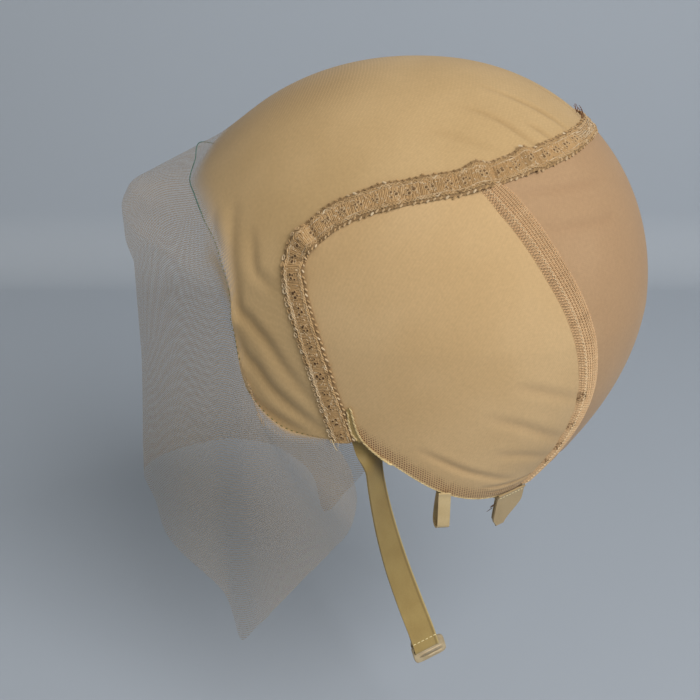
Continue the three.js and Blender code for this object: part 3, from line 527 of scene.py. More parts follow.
def lace_sheet(side, fall):
    """The whole lace: side runs from -1 at the right ear to 1 at the left ear."""
    points = lace_half(np.abs(side), fall)
    points[..., 0] *= np.where(side < 0, -1, 1)
    return points


def coons(across, up, low, high, front, rear):
    """Four-sided patch: the two blends of opposite edges less the blend of the corners, laid on the form."""
    a, u = across[..., None], up[..., None]
    zero, one = np.zeros(1), np.ones(1)
    corners = low(zero) * (1 - a) * (1 - u) + low(one) * a * (1 - u)
    corners = corners + high(zero) * (1 - a) * u + high(one) * a * u
    return on_form(low(across) * (1 - u) + high(across) * u + front(up) * (1 - a) + rear(up) * a - corners)


def tape_seam(share):
    """The tape's seam from the trim to the hem."""
    return curve(TAPE_SEAM, share * (len(TAPE_SEAM) - 1))


def side_hem(share):
    """The side panel's hem from the ear to the foot of the tape."""
    return curve(SIDE_HEM, share * (len(SIDE_HEM) - 1))


def nape_hem(share):
    """The back panel's hem from the left tape to the right one."""
    rows = np.vstack([SIDE_HEM[-2:], NAPE_MIDDLE, SIDE_HEM[:-3:-1] * MIRROR])
    return curve(rows, 1 + 2 * share)


def side_patch(across, up):
    """Left side panel: across runs from the trim to the tape, up from the hem to the trim."""
    ear = EAR_ROW - EAR_ROWS_BACK

    def front(share):
        seam = middle_curve(TRIM_SEAM, ear + (TEMPLE_ROW - ear) * share)
        return seam + (SIDE_HEM[0] - seam) * ((1 - share) ** EAR_SHARPNESS)[..., None]

    def high(share):
        return middle_curve(TRIM_SEAM, TEMPLE_ROW + (TAPE_HEAD_ROW - TEMPLE_ROW) * share)

    return coons(across, up, side_hem, high, front, lambda share: tape_seam(1 - share))


def back_patch(across, up):
    """Back panel: across runs from the left tape to the right one, up from the hem to the trim."""
    def high(share):
        reach = TAPE_HEAD_ROW * (2 * share - 1)
        points = middle_curve(TRIM_SEAM, np.abs(reach))
        return points * np.where(reach[..., None] < 0, 1, MIRROR)

    return coons(across, up, nape_hem, high, lambda s: tape_seam(1 - s), lambda s: tape_seam(1 - s) * MIRROR)


def crease_height(points, sheet, creases):
    """Creases on a sheet: each is a groove along a line, with a soft shoulder on both sides, and it fades out
    at the line's ends. Returns the height and how much painted shade each point gets for lying in a groove."""
    flat = points.reshape(-1, 3)
    height, dark = np.zeros((2, len(flat)))
    share = np.linspace(0, 1, CREASE_SAMPLES)
    fade = np.sqrt(np.sin(np.pi * np.clip(share, *CREASE_ENDS)))
    for crease in creases:
        rows = np.array([(*place, 0.0) for place in crease.line])
        places = curve(rows, share * (len(rows) - 1))
        line = sheet(places[:, 0], places[:, 1])
        distance = np.linalg.norm(flat[:, None, :] - line[None], axis=-1)
        groove = np.max(fade * bell(distance, crease.width), axis=1)
        shoulder = np.max(fade * bell(distance, crease.width * CREASE_SHOULDER_WIDTH), axis=1)
        height += crease.depth * (CREASE_SHOULDER * shoulder - groove)
        # Painted shade: how much a groove's colour is darkened, from the crease's shade column
        dark = np.maximum(dark, crease.shade * groove)
    return height.reshape(points.shape[:-1]), dark.reshape(points.shape[:-1])


def grid_normals(grid):
    """Outward direction at each point of a grid, square to its two slopes."""
    down, along = np.gradient(grid, axis=(0, 1))
    normals = unit(np.cross(down, along))
    outward = np.sum(normals * (grid - grid.mean((0, 1))), -1).mean() > 0
    return normals if outward else -normals


def grid_lengths(grid):
    """Distances walked along the rows and down the columns of a grid, as flat coordinates of its cloth."""
    along = np.linalg.norm(np.diff(grid, axis=1), axis=-1)
    down = np.linalg.norm(np.diff(grid, axis=0), axis=-1)
    u = np.concatenate([np.zeros((grid.shape[0], 1)), np.cumsum(along, 1)], 1)
    v = np.concatenate([np.zeros((1, grid.shape[1])), np.cumsum(down, 0)], 0)
    return np.stack([u - u.mean(1, keepdims=True), v], -1)


def grid_quads(rows, columns, wrap_rows=False, wrap_columns=False):
    """Quads between neighbours of a grid of points, as rows of four point numbers."""
    row = np.arange(rows if wrap_rows else rows - 1)[:, None]
    column = np.arange(columns if wrap_columns else columns - 1)[None]
    next_row, next_column = (row + 1) % rows, (column + 1) % columns
    corners = (row * columns + column, row * columns + next_column,
               next_row * columns + next_column, next_row * columns + column)
    return np.stack(np.broadcast_arrays(*corners), -1).reshape(-1, 4)


def outward(points, quads):
    """Quads turned so that they enclose a positive volume."""
    a, b, c, d = (points[quads[:, k]] for k in range(4))
    volume = np.sum(a * np.cross(b, c)) + np.sum(a * np.cross(c, d))
    return quads if volume > 0 else quads[:, ::-1]


def wall(outer, inner):
    """A closed wall from an outer and an inner grid, with strips round their edge."""
    rows, columns = outer.shape[:2]
    count = rows * columns
    points = np.concatenate([outer.reshape(-1, 3), inner.reshape(-1, 3)])
    face = grid_quads(rows, columns)
    number = np.arange(count).reshape(rows, columns)
    rim = np.concatenate([number[0, :-1], number[:-1, -1], number[-1, :0:-1], number[:0:-1, 0]])
    following = np.roll(rim, -1)
    strip = np.stack([following, rim, rim + count, following + count], -1)
    quads = np.concatenate([face, face[:, ::-1] + count, strip])
    return points, outward(points, quads)


def tubes(paths, ups, radius, sides=4, closed=False):
    """Round strands: on each point of each path stands a ring of points, square to the path, whose first
    point lies towards the up direction. Open strands are closed by a quad or two on each end."""
    strands, stations = paths.shape[:2]
    if closed:
        along = np.roll(paths, -1, 1) - np.roll(paths, 1, 1)
    else:
        along = np.gradient(paths, axis=1)
    along = unit(along)
    across = unit(np.cross(along, ups))
    rise = np.cross(across, along)
    turn = np.linspace(0, 2 * np.pi, sides, endpoint=False)
    size = np.broadcast_to(np.asarray(radius, float), (strands, stations))[..., None, None]
    ring = np.cos(turn)[:, None] * rise[:, :, None] + np.sin(turn)[:, None] * across[:, :, None]
    points = (paths[:, :, None] + size * ring).reshape(-1, 3)
    quads = grid_quads(stations, sides, wrap_rows=closed, wrap_columns=True)
    if not closed:
        last = (stations - 1) * sides
        caps = np.array([[0, k + 1, k + 2, k + 3] for k in range(0, sides - 2, 2)])
        quads = np.concatenate([quads, caps[:, ::-1], caps + last])
    offsets = np.arange(strands)[:, None, None] * stations * sides
    quads = (quads[None] + offsets).reshape(-1, 4)
    return points, outward(points, quads)


def joined(parts):
    """Several bodies as one: each part is points, quads and the tones of its yarn, one for all of its points
    or one for each equal run of them."""
    points, quads, tones, start = [], [], [], 0
    for part_points, part_quads, tone in parts:
        tone = np.ravel(tone)
        points.append(part_points)
        quads.append(part_quads + start)
        tones.append(np.repeat(tone, len(part_points) // tone.size))
        start += len(part_points)
    return np.concatenate(points), np.concatenate(quads), np.concatenate(tones)


def mirrored(points, quads):
    """The same body on the other side of the middle plane, with its faces turned back out."""
    return points * MIRROR, quads[:, ::-1]


def put(name, points, quads, material, slot, uv=None, values=None, replaced=()):
    """Makes an object from arrays in millimetres, with its cloth coordinates and point values, lets it ride
    on the cap and hides the solids that it stands for."""
    mesh = bpy.data.meshes.new(name)
    mesh.vertices.add(len(points))
    mesh.vertices.foreach_set("co", (points * MM).astype(np.float32).ravel())
    mesh.loops.add(quads.size)
    mesh.loops.foreach_set("vertex_index", np.ascontiguousarray(quads, np.int32).ravel())
    mesh.polygons.add(len(quads))
    mesh.polygons.foreach_set("loop_start", np.arange(0, quads.size, 4, dtype=np.int32))
    mesh.polygons.foreach_set("use_smooth", np.ones(len(quads), bool))
    mesh.update(calc_edges=True)
    mesh.set_sharp_from_angle(angle=math.radians(SHARP_ANGLE))
    if uv is not None:
        layer = mesh.uv_layers.new(name=UV_NAME)
        layer.data.foreach_set("uv", uv[quads.ravel()].astype(np.float32).ravel())
    for key, value in (values or {}).items():
        attribute = mesh.attributes.new(key, "FLOAT", "POINT")
        attribute.data.foreach_set("value", np.broadcast_to(value, (len(points),)).astype(np.float32))
    mesh.materials.append(material)
    piece = bpy.data.objects.new(name, mesh)
    bpy.context.scene.collection.objects.link(piece)
    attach(piece, BODY)
    if replaced:
        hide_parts(*replaced)
    return piece


# Shader helpers


def feed(tree, socket, value):
    """Links an output to an input, or sets the input's own value."""
    if isinstance(value, bpy.types.NodeSocket):
        tree.links.new(value, socket)
    else:
        socket.default_value = value


def add_node(tree, kind, *values, **options):
    """A new node with its options set, fed in the order of its inputs."""
    node = tree.nodes.new(kind)
    for key, option in options.items():
        setattr(node, key, option)
    for socket, value in zip(node.inputs, values):
        feed(tree, socket, value)
    return node


def calculate(tree, operation, *values):
    """A Math node on sockets or numbers."""
    return add_node(tree, "ShaderNodeMath", *values, operation=operation).outputs[0]


def vector(tree, operation, *values):
    """A Vector Math node on sockets or vectors: its vector, or its value where it measures."""
    node = add_node(tree, "ShaderNodeVectorMath", *values, operation=operation)
    return node.outputs["Value" if operation == "LENGTH" else "Vector"]


def combined(tree, *parts):
    """A vector from its parts."""
    return add_node(tree, "ShaderNodeCombineXYZ", *parts).outputs[0]


def blend_colour(tree, factor, first, second, mode="MIX"):
    """A colour Mix node on sockets or colours."""
    node = add_node(tree, "ShaderNodeMix", data_type="RGBA", blend_type=mode)
    feed(tree, node.inputs[MIX_FACTOR], factor)
    for place, colour in ((MIX_FIRST, first), (MIX_SECOND, second)):
        feed(tree, node.inputs[place], colour if isinstance(colour, bpy.types.NodeSocket) else (*colour, 1.0))
    return node.outputs[MIX_RESULT]


def remap(tree, value, low, high, new_low=0.0, new_high=1.0):
    """A smooth Map Range node."""
    node = add_node(tree, "ShaderNodeMapRange", value, low, high, new_low, new_high,
                    interpolation_type="SMOOTHSTEP")
    return node.outputs[0]


def noise(tree, position, scale, detail=2.0):
    """A Noise node's value."""
    node = tree.nodes.new("ShaderNodeTexNoise")
    feed(tree, node.inputs["Vector"], position)
    feed(tree, node.inputs["Scale"], scale)
    node.inputs["Detail"].default_value = detail
    return node.outputs[0]


def cloth_place(tree):
    """Flat cloth coordinates in millimetres."""
    return add_node(tree, "ShaderNodeUVMap", uv_map=UV_NAME).outputs[0]


def object_place(tree):
    """Object coordinates."""
    return tree.nodes.new("ShaderNodeTexCoord").outputs["Object"]


def point_value(tree, name):
    """A point value of the piece."""
    return add_node(tree, "ShaderNodeAttribute", attribute_name=name).outputs["Fac"]


def new_group(name, inputs, outputs):
    """An empty shader node group with named sockets; returns the group, its inputs and its output node."""
    group = bpy.data.node_groups.new(name, "ShaderNodeTree")
    for direction, sockets in (("INPUT", inputs), ("OUTPUT", outputs)):
        for label, kind in sockets:
            group.interface.new_socket(name=label, in_out=direction, socket_type="NodeSocket" + kind)
    entry = group.nodes.new("NodeGroupInput")
    leave = group.nodes.new("NodeGroupOutput")
    return group, entry.outputs, leave.inputs


def net_holes_group():
    """Net: a mask from the distance to two staggered grids of holes, 1 in a hole and 0 on a thread."""
    group, given, result = new_group(
        "Net Holes",
        (("Place", "Vector"), ("Pitch", "Float"), ("Rise", "Float"), ("Hole", "Float"),
         ("Softness", "Float")),
        (("Hole", "Float"),),
    )
    scale = calculate(group, "DIVIDE", 1.0, given["Pitch"])
    scaled = add_node(group, "ShaderNodeVectorMath", given["Place"], operation="SCALE")
    feed(group, scaled.inputs["Scale"], scale)
    half_rise = calculate(group, "MULTIPLY", given["Rise"], 0.5)
    low_rise = calculate(group, "MULTIPLY", given["Rise"], -0.5)
    top, bottom = combined(group, 0.5, half_rise, 0.5), combined(group, -0.5, low_rise, -0.5)
    shifted = vector(group, "ADD", scaled.outputs[0], combined(group, 0.5, half_rise, 0.0))
    near = [vector(group, "LENGTH", vector(group, "WRAP", place, top, bottom))
            for place in (scaled.outputs[0], shifted)]
    distance = calculate(group, "MINIMUM", *near)
    inner = calculate(group, "SUBTRACT", given["Hole"], given["Softness"])
    outer = calculate(group, "ADD", given["Hole"], given["Softness"])
    feed(group, result["Hole"], remap(group, distance, outer, inner))
    return group


def shaded(tree, colour, shade):
    """A colour times a grey shade."""
    return blend_colour(tree, 1.0, colour, shade, "MULTIPLY")


def soft_tone_group():
    """Cloth tone: slow noise mixes two colours, and a finer noise makes threads lighter and darker."""
    group, given, result = new_group(
        "Soft Tone",
        (("Place", "Vector"), ("Light", "Color"), ("Dark", "Color"), ("Size", "Float"), ("Grain", "Float")),
        (("Color", "Color"), ("Grain", "Float")),
    )
    slow = remap(group, noise(group, given["Place"], given["Size"]), *MOTTLE_RANGE)
    fine = noise(group, given["Place"], given["Grain"], GRAIN_DETAIL)
    tone = blend_colour(group, slow, given["Dark"], given["Light"])
    shade = calculate(group, "MULTIPLY_ADD", fine, GRAIN_DEPTH, 1 - GRAIN_DEPTH / 2)
    feed(group, result["Color"], shaded(group, tone, shade))
    feed(group, result["Grain"], fine)
    return group


def placed(tree, group, **values):
    """A group placed in a material with its own values; returns its outputs."""
    node = tree.nodes.new("ShaderNodeGroup")
    node.node_tree = bpy.data.node_groups.get(group) or GROUPS[group]()
    for key, value in values.items():
        feed(tree, node.inputs[key], value)
    return node.outputs


GROUPS = {"Net Holes": net_holes_group, "Soft Tone": soft_tone_group}


def new_material(name, roughness, sheen=0.0):
    """A material with only its Principled shader and output: returns it, its tree and the shader."""
    material = bpy.data.materials.new(name)
    material.use_nodes = True
    shader = material.node_tree.nodes["Principled BSDF"]
    shader.inputs["Roughness"].default_value = roughness
    shader.inputs["Sheen Weight"].default_value = sheen
    shader.inputs["Specular IOR Level"].default_value = CLOTH_SPECULAR
    return material, material.node_tree, shader


def raise_bump(tree, shader, height, distance, strength):
    """A Bump node from a height to the shader's normal."""
    bump = tree.nodes.new("ShaderNodeBump")
    bump.inputs["Strength"].default_value = strength
    bump.inputs["Distance"].default_value = distance
    feed(tree, bump.inputs["Height"], height)
    feed(tree, shader.inputs["Normal"], bump.outputs[0])


def tone_colour(tree, light, dark, size, grain):
    """Soft Tone placed on object coordinates."""
    return placed(tree, "Soft Tone", Place=object_place(tree), Light=(*light, 1.0), Dark=(*dark, 1.0),
                  Size=size, Grain=grain)


def with_painted_crease_shade(tree, colour, shade):
    """A cloth's colour with painted shade in its grooves, mixed towards a dark colour by the crease value."""
    return blend_colour(tree, point_value(tree, "crease"), colour, shade)


def lace_material(colours, sizes):
    """Sheer lace: a fine net, closed to the eye over the crown, and a diagonal net of open holes in the
    hanging length, laid out by the way round and the way down from the hairline."""
    material, tree, shader = new_material("sheer_lace", *LACE_FINISH)
    drawn = vector(tree, "MULTIPLY", cloth_place(tree), LACE_DRAW)
    fine = placed(tree, "Net Holes", Place=drawn, Pitch=sizes.lace_pitch / MM, **LACE_NET)["Hole"]
    hung = combined(tree, point_value(tree, "round"), point_value(tree, "down"))
    hole = placed(tree, "Net Holes", Place=hung, Pitch=sizes.veil_pitch / MM, **LACE_NET)["Hole"]
    veil = point_value(tree, "veil")
    tone = tone_colour(tree, colours.lace, colours.lace_shade, *LACE_MOTTLE)
    dark = calculate(tree, "MULTIPLY_ADD", point_value(tree, "open"), OPEN_SHADE, LACE_HOLE_SHADE)
    shade = blend_colour(tree, calculate(tree, "MULTIPLY", fine, dark), tone["Color"], colours.lace_hole)
    # Painted shade in the lace's creases, in the colour of its holes
    shade = blend_colour(tree, veil, with_painted_crease_shade(tree, shade, colours.lace_hole), colours.lace_thread)
    feed(tree, shader.inputs["Base Color"], shade)
    cover = calculate(tree, "SUBTRACT", 1.0, calculate(tree, "MULTIPLY", hole, veil))
    thread_share = remap(tree, veil, 0.0, 1.0, 1.0, VEIL_THREAD_COVER)
    feed(tree, shader.inputs["Alpha"], calculate(tree, "MULTIPLY", cover, thread_share))
    raise_bump(tree, shader, fine, *LACE_BUMP)
    return material


def net_material(name, light, dark, dots, sizes):
    """Stretch net of a panel: fine holes, soft tone, and dark dots of doubled net along the hem."""
    material, tree, shader = new_material(name, *NET_FINISH)
    place = cloth_place(tree)
    fine = placed(tree, "Net Holes", Place=place, Pitch=sizes.net_pitch / MM, **PANEL_NET)["Hole"]
    tone = tone_colour(tree, light, dark, *NET_MOTTLE)
    colour = blend_colour(tree, calculate(tree, "MULTIPLY", fine, NET_HOLE_SHADE), tone["Color"], dots)
    coarse = placed(tree, "Net Holes", Place=place, Pitch=HEM_DOT_PITCH, **HEM_NET)["Hole"]
    ragged = noise(tree, place, HEM_RAGGED_SCALE)
    ragged = calculate(tree, "MULTIPLY_ADD", ragged, HEM_RAGGED, -HEM_RAGGED / 2)
    reach = calculate(tree, "ADD", point_value(tree, "hem"), ragged)
    band = calculate(tree, "MULTIPLY", coarse, remap(tree, reach, *HEM_DOT_REACH, 0.0, HEM_DOT_SHADE))
    # Painted shade in the panel's creases, in the colour of the net's dots
    colour = with_painted_crease_shade(tree, blend_colour(tree, band, colour, dots), dots)
    feed(tree, shader.inputs["Base Color"], colour)
    low = calculate(tree, "MULTIPLY", fine, NET_BUMP_SHARE)
    raise_bump(tree, shader, calculate(tree, "MAXIMUM", low, band), *NET_BUMP)
    return material


def yarn_material(name, pale, middle, dark):
    """Yarn: its tone value picks dark, middle or pale, and fine noise makes single threads differ."""
    material, tree, shader = new_material(name, *YARN_FINISH)
    tone = point_value(tree, "tone")
    low = blend_colour(tree, remap(tree, tone, 0.0, 0.5), dark, middle)
    colour = blend_colour(tree, remap(tree, tone, 0.5, 1.0), low, pale)
    grain = noise(tree, object_place(tree), YARN_GRAIN_SCALE)
    shade = calculate(tree, "MULTIPLY_ADD", grain, YARN_GRAIN, 1 - YARN_GRAIN / 2)
    feed(tree, shader.inputs["Base Color"], shaded(tree, colour, shade))
    raise_bump(tree, shader, grain, *YARN_BUMP)
    return material


def ribbon_material(name, light, dark, finish, sizes, selvage_light=None):
    """Woven ribbon: fine ribs across it, with a soft tone and painted shade from its inside value, and when
    an edge is given, a pale line along it as a painted highlight with a dark line beside it as a painted
    shadow."""
    material, tree, shader = new_material(name, *finish)
    place = cloth_place(tree)
    wave = add_node(tree, "ShaderNodeTexWave", place, wave_type="BANDS", bands_direction="Y")
    wave.inputs["Scale"].default_value = RIB_SCALE / (sizes.rib_pitch / MM)
    wave.inputs["Distortion"].default_value = RIB_DISTORTION
    tone = tone_colour(tree, light, dark, *RIBBON_MOTTLE)
    ribbed = calculate(tree, "MULTIPLY", wave.outputs["Fac"], RIB_SHADE)
    colour = blend_colour(tree, ribbed, tone["Color"], dark)
    # Painted shade from the inside value: a loop's inner ply, and the strap's upper part in the cap's shadow
    colour = shaded(tree, colour, calculate(tree, "SUBTRACT", 1.0, point_value(tree, "inside")))
    if selvage_light:
        pale, edge = selvage_light
        split = add_node(tree, "ShaderNodeSeparateXYZ", place)
        inside = calculate(tree, "ADD", split.outputs["X"], edge)
        # Painted shadow line just inside the edge, then a painted highlight on the pale edge itself
        line = calculate(tree, "MULTIPLY", remap(tree, inside, *SELVAGE_SHADOW_LINE[:2]),
                         remap(tree, inside, *SELVAGE_SHADOW_LINE[2:]))
        colour = blend_colour(tree, calculate(tree, "MULTIPLY", line, SELVAGE_SHADE), colour, (0.0, 0.0, 0.0))
        colour = blend_colour(tree, remap(tree, inside, *SELVAGE_HIGHLIGHT_LINE, 0.0, SELVAGE_SHINE), colour, pale)
    feed(tree, shader.inputs["Base Color"], colour)
    raise_bump(tree, shader, wave.outputs["Fac"], *RIB_BUMP)
    return material


def plastic_material(colours):
    """Moulded greyish plastic, clear enough to glow a little; its tone value paints highlight and shade."""
    material, tree, shader = new_material("hook_plastic", PLASTIC_ROUGHNESS)
    tone = tone_colour(tree, colours.hook, colours.hook_shade, *PLASTIC_MOTTLE)
    # Painted shade in the grooves and painted highlight on the ribs, from the tone value
    shade = remap(tree, point_value(tree, "tone"), 0.0, 1.0, HOOK_GROOVE_SHADE, 1.0)
    feed(tree, shader.inputs["Base Color"], shaded(tree, tone["Color"], shade))
    shader.inputs["Transmission Weight"].default_value = PLASTIC_CLEARNESS
    shader.inputs["Specular IOR Level"].default_value = PLASTIC_SPECULAR
    shader.inputs["IOR"].default_value = PLASTIC_IOR
    raise_bump(tree, shader, tone["Grain"], *PLASTIC_BUMP)
    return material


def stage_material(name, colour):
    """Pale floor with the faintest mottle."""
    material, tree, shader = new_material(name, STAGE_ROUGHNESS)
    mottle = calculate(tree, "MULTIPLY", noise(tree, object_place(tree), STAGE_MOTTLE_SCALE), STAGE_MOTTLE)
    darker = tuple(STAGE_MOTTLE_SHADE * part for part in colour)
    feed(tree, shader.inputs["Base Color"], blend_colour(tree, mottle, colour, darker))
    return material


# Settings


def colour_property(name, description, *steps):
    """A colour setting."""
    return bpy.props.FloatVectorProperty(name=name, description=description, subtype="COLOR", size=3,
                                         min=0.0, max=1.0, default=srgb(*steps))


def length_property(name, description, default):
    """A length setting in metres."""
    return bpy.props.FloatProperty(name=name, description=description, default=default, min=0.0,
                                   subtype="DISTANCE", unit="LENGTH", precision=5)


class WigCapSizes(bpy.types.PropertyGroup):
    """Sizes that a user may change"""

    lace_pitch: length_property("Lace Pitch", "Distance between the holes of the lace over the crown", 0.0013)
    veil_pitch: length_property("Veil Pitch", "Distance between the holes of the hanging lace", 0.00108)
    net_pitch: length_property("Net Pitch", "Distance between the holes of the panels' net", 0.0008)
    rib_pitch: length_property("Rib Pitch", "Distance between the ribs of the ribbons", 0.0005)
    floor_gap: length_property("Floor Gap", "Height of the cap's lowest point over the floor", 0.055)
    floor_width: length_property("Floor Width", "Width of the floor and the backdrop", 6.0)
    backdrop: length_property("Backdrop", "Distance of the backdrop behind the cap", 0.62)


class WigCapColours(bpy.types.PropertyGroup):
    """Colours that a user may change"""

    lace: colour_property("Lace", "Lace over the crown", 206, 174, 126)
    lace_shade: colour_property("Lace Shade", "Darker tone of the lace", 198, 166, 118)
    lace_thread: colour_property("Lace Thread", "Threads of the hanging lace", 186, 160, 124)
    # The lace hole colour is also the painted shade in the lace's creases
    lace_hole: colour_property("Lace Hole", "Shade in the holes of the lace", 134, 100, 58)
    side: colour_property("Side Net", "Net of the side panels", 211, 178, 131)
    side_shade: colour_property("Side Net Shade", "Darker tone of the side net", 203, 169, 121)
    back: colour_property("Back Net", "Net of the back panel", 187, 153, 116)
    back_shade: colour_property("Back Net Shade", "Darker tone of the back net", 180, 145, 108)
    # The net dots colour is also the painted shade in the panels' creases
    net_dots: colour_property("Net Dots", "Dark dots of doubled net", 118, 74, 46)
    trim_pale: colour_property("Trim Pale", "Pale yarn of the trim", 225, 203, 168)
    trim_middle: colour_property("Trim Middle", "Middle yarn of the trim", 192, 157, 110)
    trim_dark: colour_property("Trim Dark", "Holes of the trim", 84, 58, 32)
    tape_pale: colour_property("Tape Pale", "Pale stitches of the tapes", 236, 208, 166)
    tape_middle: colour_property("Tape Middle", "Threads of the tapes", 216, 180, 136)
    tape_dark: colour_property("Tape Dark", "Holes of the tapes", 118, 84, 48)
    cord: colour_property("Cord", "Cord of the hem", 226, 202, 150)
    cord_shade: colour_property("Cord Shade", "Grooves of the cord", 160, 132, 84)
    loop: colour_property("Loop", "Ribbon of the hem loops", 206, 182, 136)
    loop_shade: colour_property("Loop Shade", "Darker tone of the loops", 186, 160, 113)
    tab: colour_property("Tab", "Ribbon of the nape tabs", 177, 153, 112)
    tab_shade: colour_property("Tab Shade", "Darker tone of the nape tabs", 165, 141, 100)
    strap: colour_property("Strap", "Ribbon of the straps", 171, 146, 89)
    strap_shade: colour_property("Strap Shade", "Darker tone of the straps", 161, 135, 80)
    stitch: colour_property("Stitch", "Pale sewing thread", 236, 220, 168)
    hook: colour_property("Hook", "Plastic of the hooks", 230, 208, 168)
    hook_shade: colour_property("Hook Shade", "Darker tone of the plastic", 212, 189, 148)
    marking: colour_property("Marking Thread", "Hairline thread at the forehead", 44, 104, 84)
    marking_faded: colour_property("Faded Thread", "Hairline thread at the temples", 112, 108, 66)
    fray: colour_property("Loose Thread", "Loose ends of dark thread", 122, 78, 56)
    stage: colour_property("Stage", "Floor and backdrop", 186, 194, 204)


class WigCapSettings(bpy.types.PropertyGroup):
    """All settings of the cap"""

    sizes: bpy.props.PointerProperty(type=WigCapSizes, name="Sizes", description="Sizes of the cap's cloth")
    colours: bpy.props.PointerProperty(type=WigCapColours, name="Colours", description="Colours of the cap")


def settings(context):
    """The sizes and the colours of the scene's cap."""
    return context.scene.wig_cap.sizes, context.scene.wig_cap.colours


def sheet_piece(name, grid, lift, thickness, material, slot, replaced, values, mirror=False):
    """A sheet from a grid of its inner points and its height over them, with cloth coordinates: a closed wall
    where it has a thickness, else a single layer that faces out."""
    middle = grid + grid_normals(grid) * lift[..., None]
    normals = grid_normals(middle)
    uv = grid_lengths(middle).reshape(-1, 2)
    layers = 2 if thickness else 1
    if thickness:
        points, quads = wall(middle + normals * thickness / 2, middle - normals * thickness / 2)
    else:
        points, quads = middle.reshape(-1, 3), grid_quads(*middle.shape[:2])
        first, second, third = points[quads[0, :3]]
        if np.dot(np.cross(second - first, third - first), normals[0, 0]) < 0:
            quads = quads[:, ::-1]
    if mirror:
        points, quads = mirrored(points, quads)
    values = {key: np.tile(value.ravel(), layers) for key, value in values.items()}
    return put(name, points, quads, material, slot, np.tile(uv, (layers, 1)), values, (replaced,))


def lace_grid():
    """Grid of the whole lace: returns the points, the sides and the falls."""
    columns, crown_rows, veil_rows = LACE_GRID
    crown = np.linspace(0, 1, crown_rows)
    veil = 1 + (np.arange(1, veil_rows + 1) / veil_rows) ** VEIL_GATHERING
    side, fall = np.meshgrid(np.linspace(-1, 1, columns), np.concatenate([crown, veil]))
    share = np.abs(side)
    seam = middle_curve(TRIM_SEAM, share * EAR_ROW)
    brow = middle_curve(HAIRLINE, share * (len(HAIRLINE) - 1))
    gap = SEAM_GAP / np.linalg.norm(seam - brow, axis=-1)
    grid = lace_sheet(side, np.maximum(fall, gap))
    return grid, side, fall


def lace_lift(grid, side, fall):
    """Height of the lace over its grid: half the cloth, creases, and waves that grow towards the cut edge.
    Returns the height and the painted shade of its grooves."""
    ear = 1 - smoothstep(np.abs(side), *WAVE_END)
    hang = np.maximum(0, fall - 1)
    wave = VEIL_WAVE_HEIGHT * hang ** 2 * np.sin(VEIL_WAVE_COUNT * np.pi * side + VEIL_WAVE_PHASE)
    other_temple = tuple(
        crease._replace(line=tuple((-across, down) for across, down in crease.line))
        for crease in TEMPLE_CREASES)
    height, groove = crease_height(grid, lace_sheet, TEMPLE_CREASES + other_temple + CROWN_CREASES)
    edge = smoothstep(fall, *LACE_EDGE)
    return CLOTH / 2 + wave * ear + height * edge, groove * edge


class WIGCAP_OT_lace_front(bpy.types.Operator):
    """Sheer lace over the crown and the temples, with its uncut length hanging in front"""

    bl_idname = "wigcap.lace_front"
    bl_label = "Lace Front"

    def execute(self, context):
        sizes, colours = settings(context)
        grid, side, fall = lace_grid()
        lift, groove = lace_lift(grid, side, fall)
        off = np.linalg.norm(grid - on_form(grid), axis=-1)
        veil = np.maximum(smoothstep(fall, *VEIL_FADE), smoothstep(off, *VEIL_CLEAR))
        turn = np.arctan2(grid[..., 0], VEIL_CENTRE_Y - grid[..., 1])
        way = grid_lengths(grid)[..., 1]
        down = way - way[LACE_GRID[1] - 1]
        bare = (1 - smoothstep(np.abs(side), *OPEN_SIDES)) * smoothstep(fall, *OPEN_FALLS)
        # The crease value is the painted shade of the lace's grooves
        values = {"veil": veil, "crease": groove, "open": bare, "round": turn * VEIL_REACH,
                  "down": down + VEIL_SLANT * turn * VEIL_REACH}
        piece = sheet_piece("lace_front_net", grid, lift, 0.0, lace_material(colours, sizes), "lace",
                            "lace_front", values)
        return {"FINISHED"}


def panel_sheet(patch, across_range, size, creases):
    """A panel's grid over its patch, its height over that, and the hem distance and painted groove shade
    of each point.
    """
    across, up = np.meshgrid(np.linspace(*across_range, size[0]), np.linspace(*PANEL_UP, size[1]))
    grid = patch(across, up)
    height, groove = crease_height(grid, patch, creases)
    return grid, CLOTH / 2 + height, {"hem": np.linalg.norm(grid - grid[:1], axis=-1), "crease": groove}


class WIGCAP_OT_side_panels(bpy.types.Operator):
    """Stretch net panels over the sides"""

    bl_idname = "wigcap.side_panels"
    bl_label = "Side Panels"

    def execute(self, context):
        sizes, colours = settings(context)
        material = net_material("side_stretch_net", colours.side, colours.side_shade, colours.net_dots, sizes)
        grid, lift, values = panel_sheet(side_patch, SIDE_ACROSS, SIDE_GRID, SIDE_CREASES)
        for name in ("left", "right"):
            piece = sheet_piece(f"side_panel_{name}_net", grid, lift, NET_THICKNESS, material, "side_net",
                                f"side_panel_{name}", values, mirror=name == "right")
        return {"FINISHED"}


class WIGCAP_OT_back_panel(bpy.types.Operator):
    """Rosier stretch net over the back"""

    bl_idname = "wigcap.back_panel"
    bl_label = "Back Panel"

    def execute(self, context):
        sizes, colours = settings(context)
        material = net_material("back_stretch_net", colours.back, colours.back_shade, colours.net_dots, sizes)
        grid, lift, values = panel_sheet(back_patch, BACK_ACROSS, BACK_GRID, BACK_CREASES)
        piece = sheet_piece("back_panel_net", grid, lift, NET_THICKNESS, material, "back_net", "back_panel",
                            values)
        return {"FINISHED"}


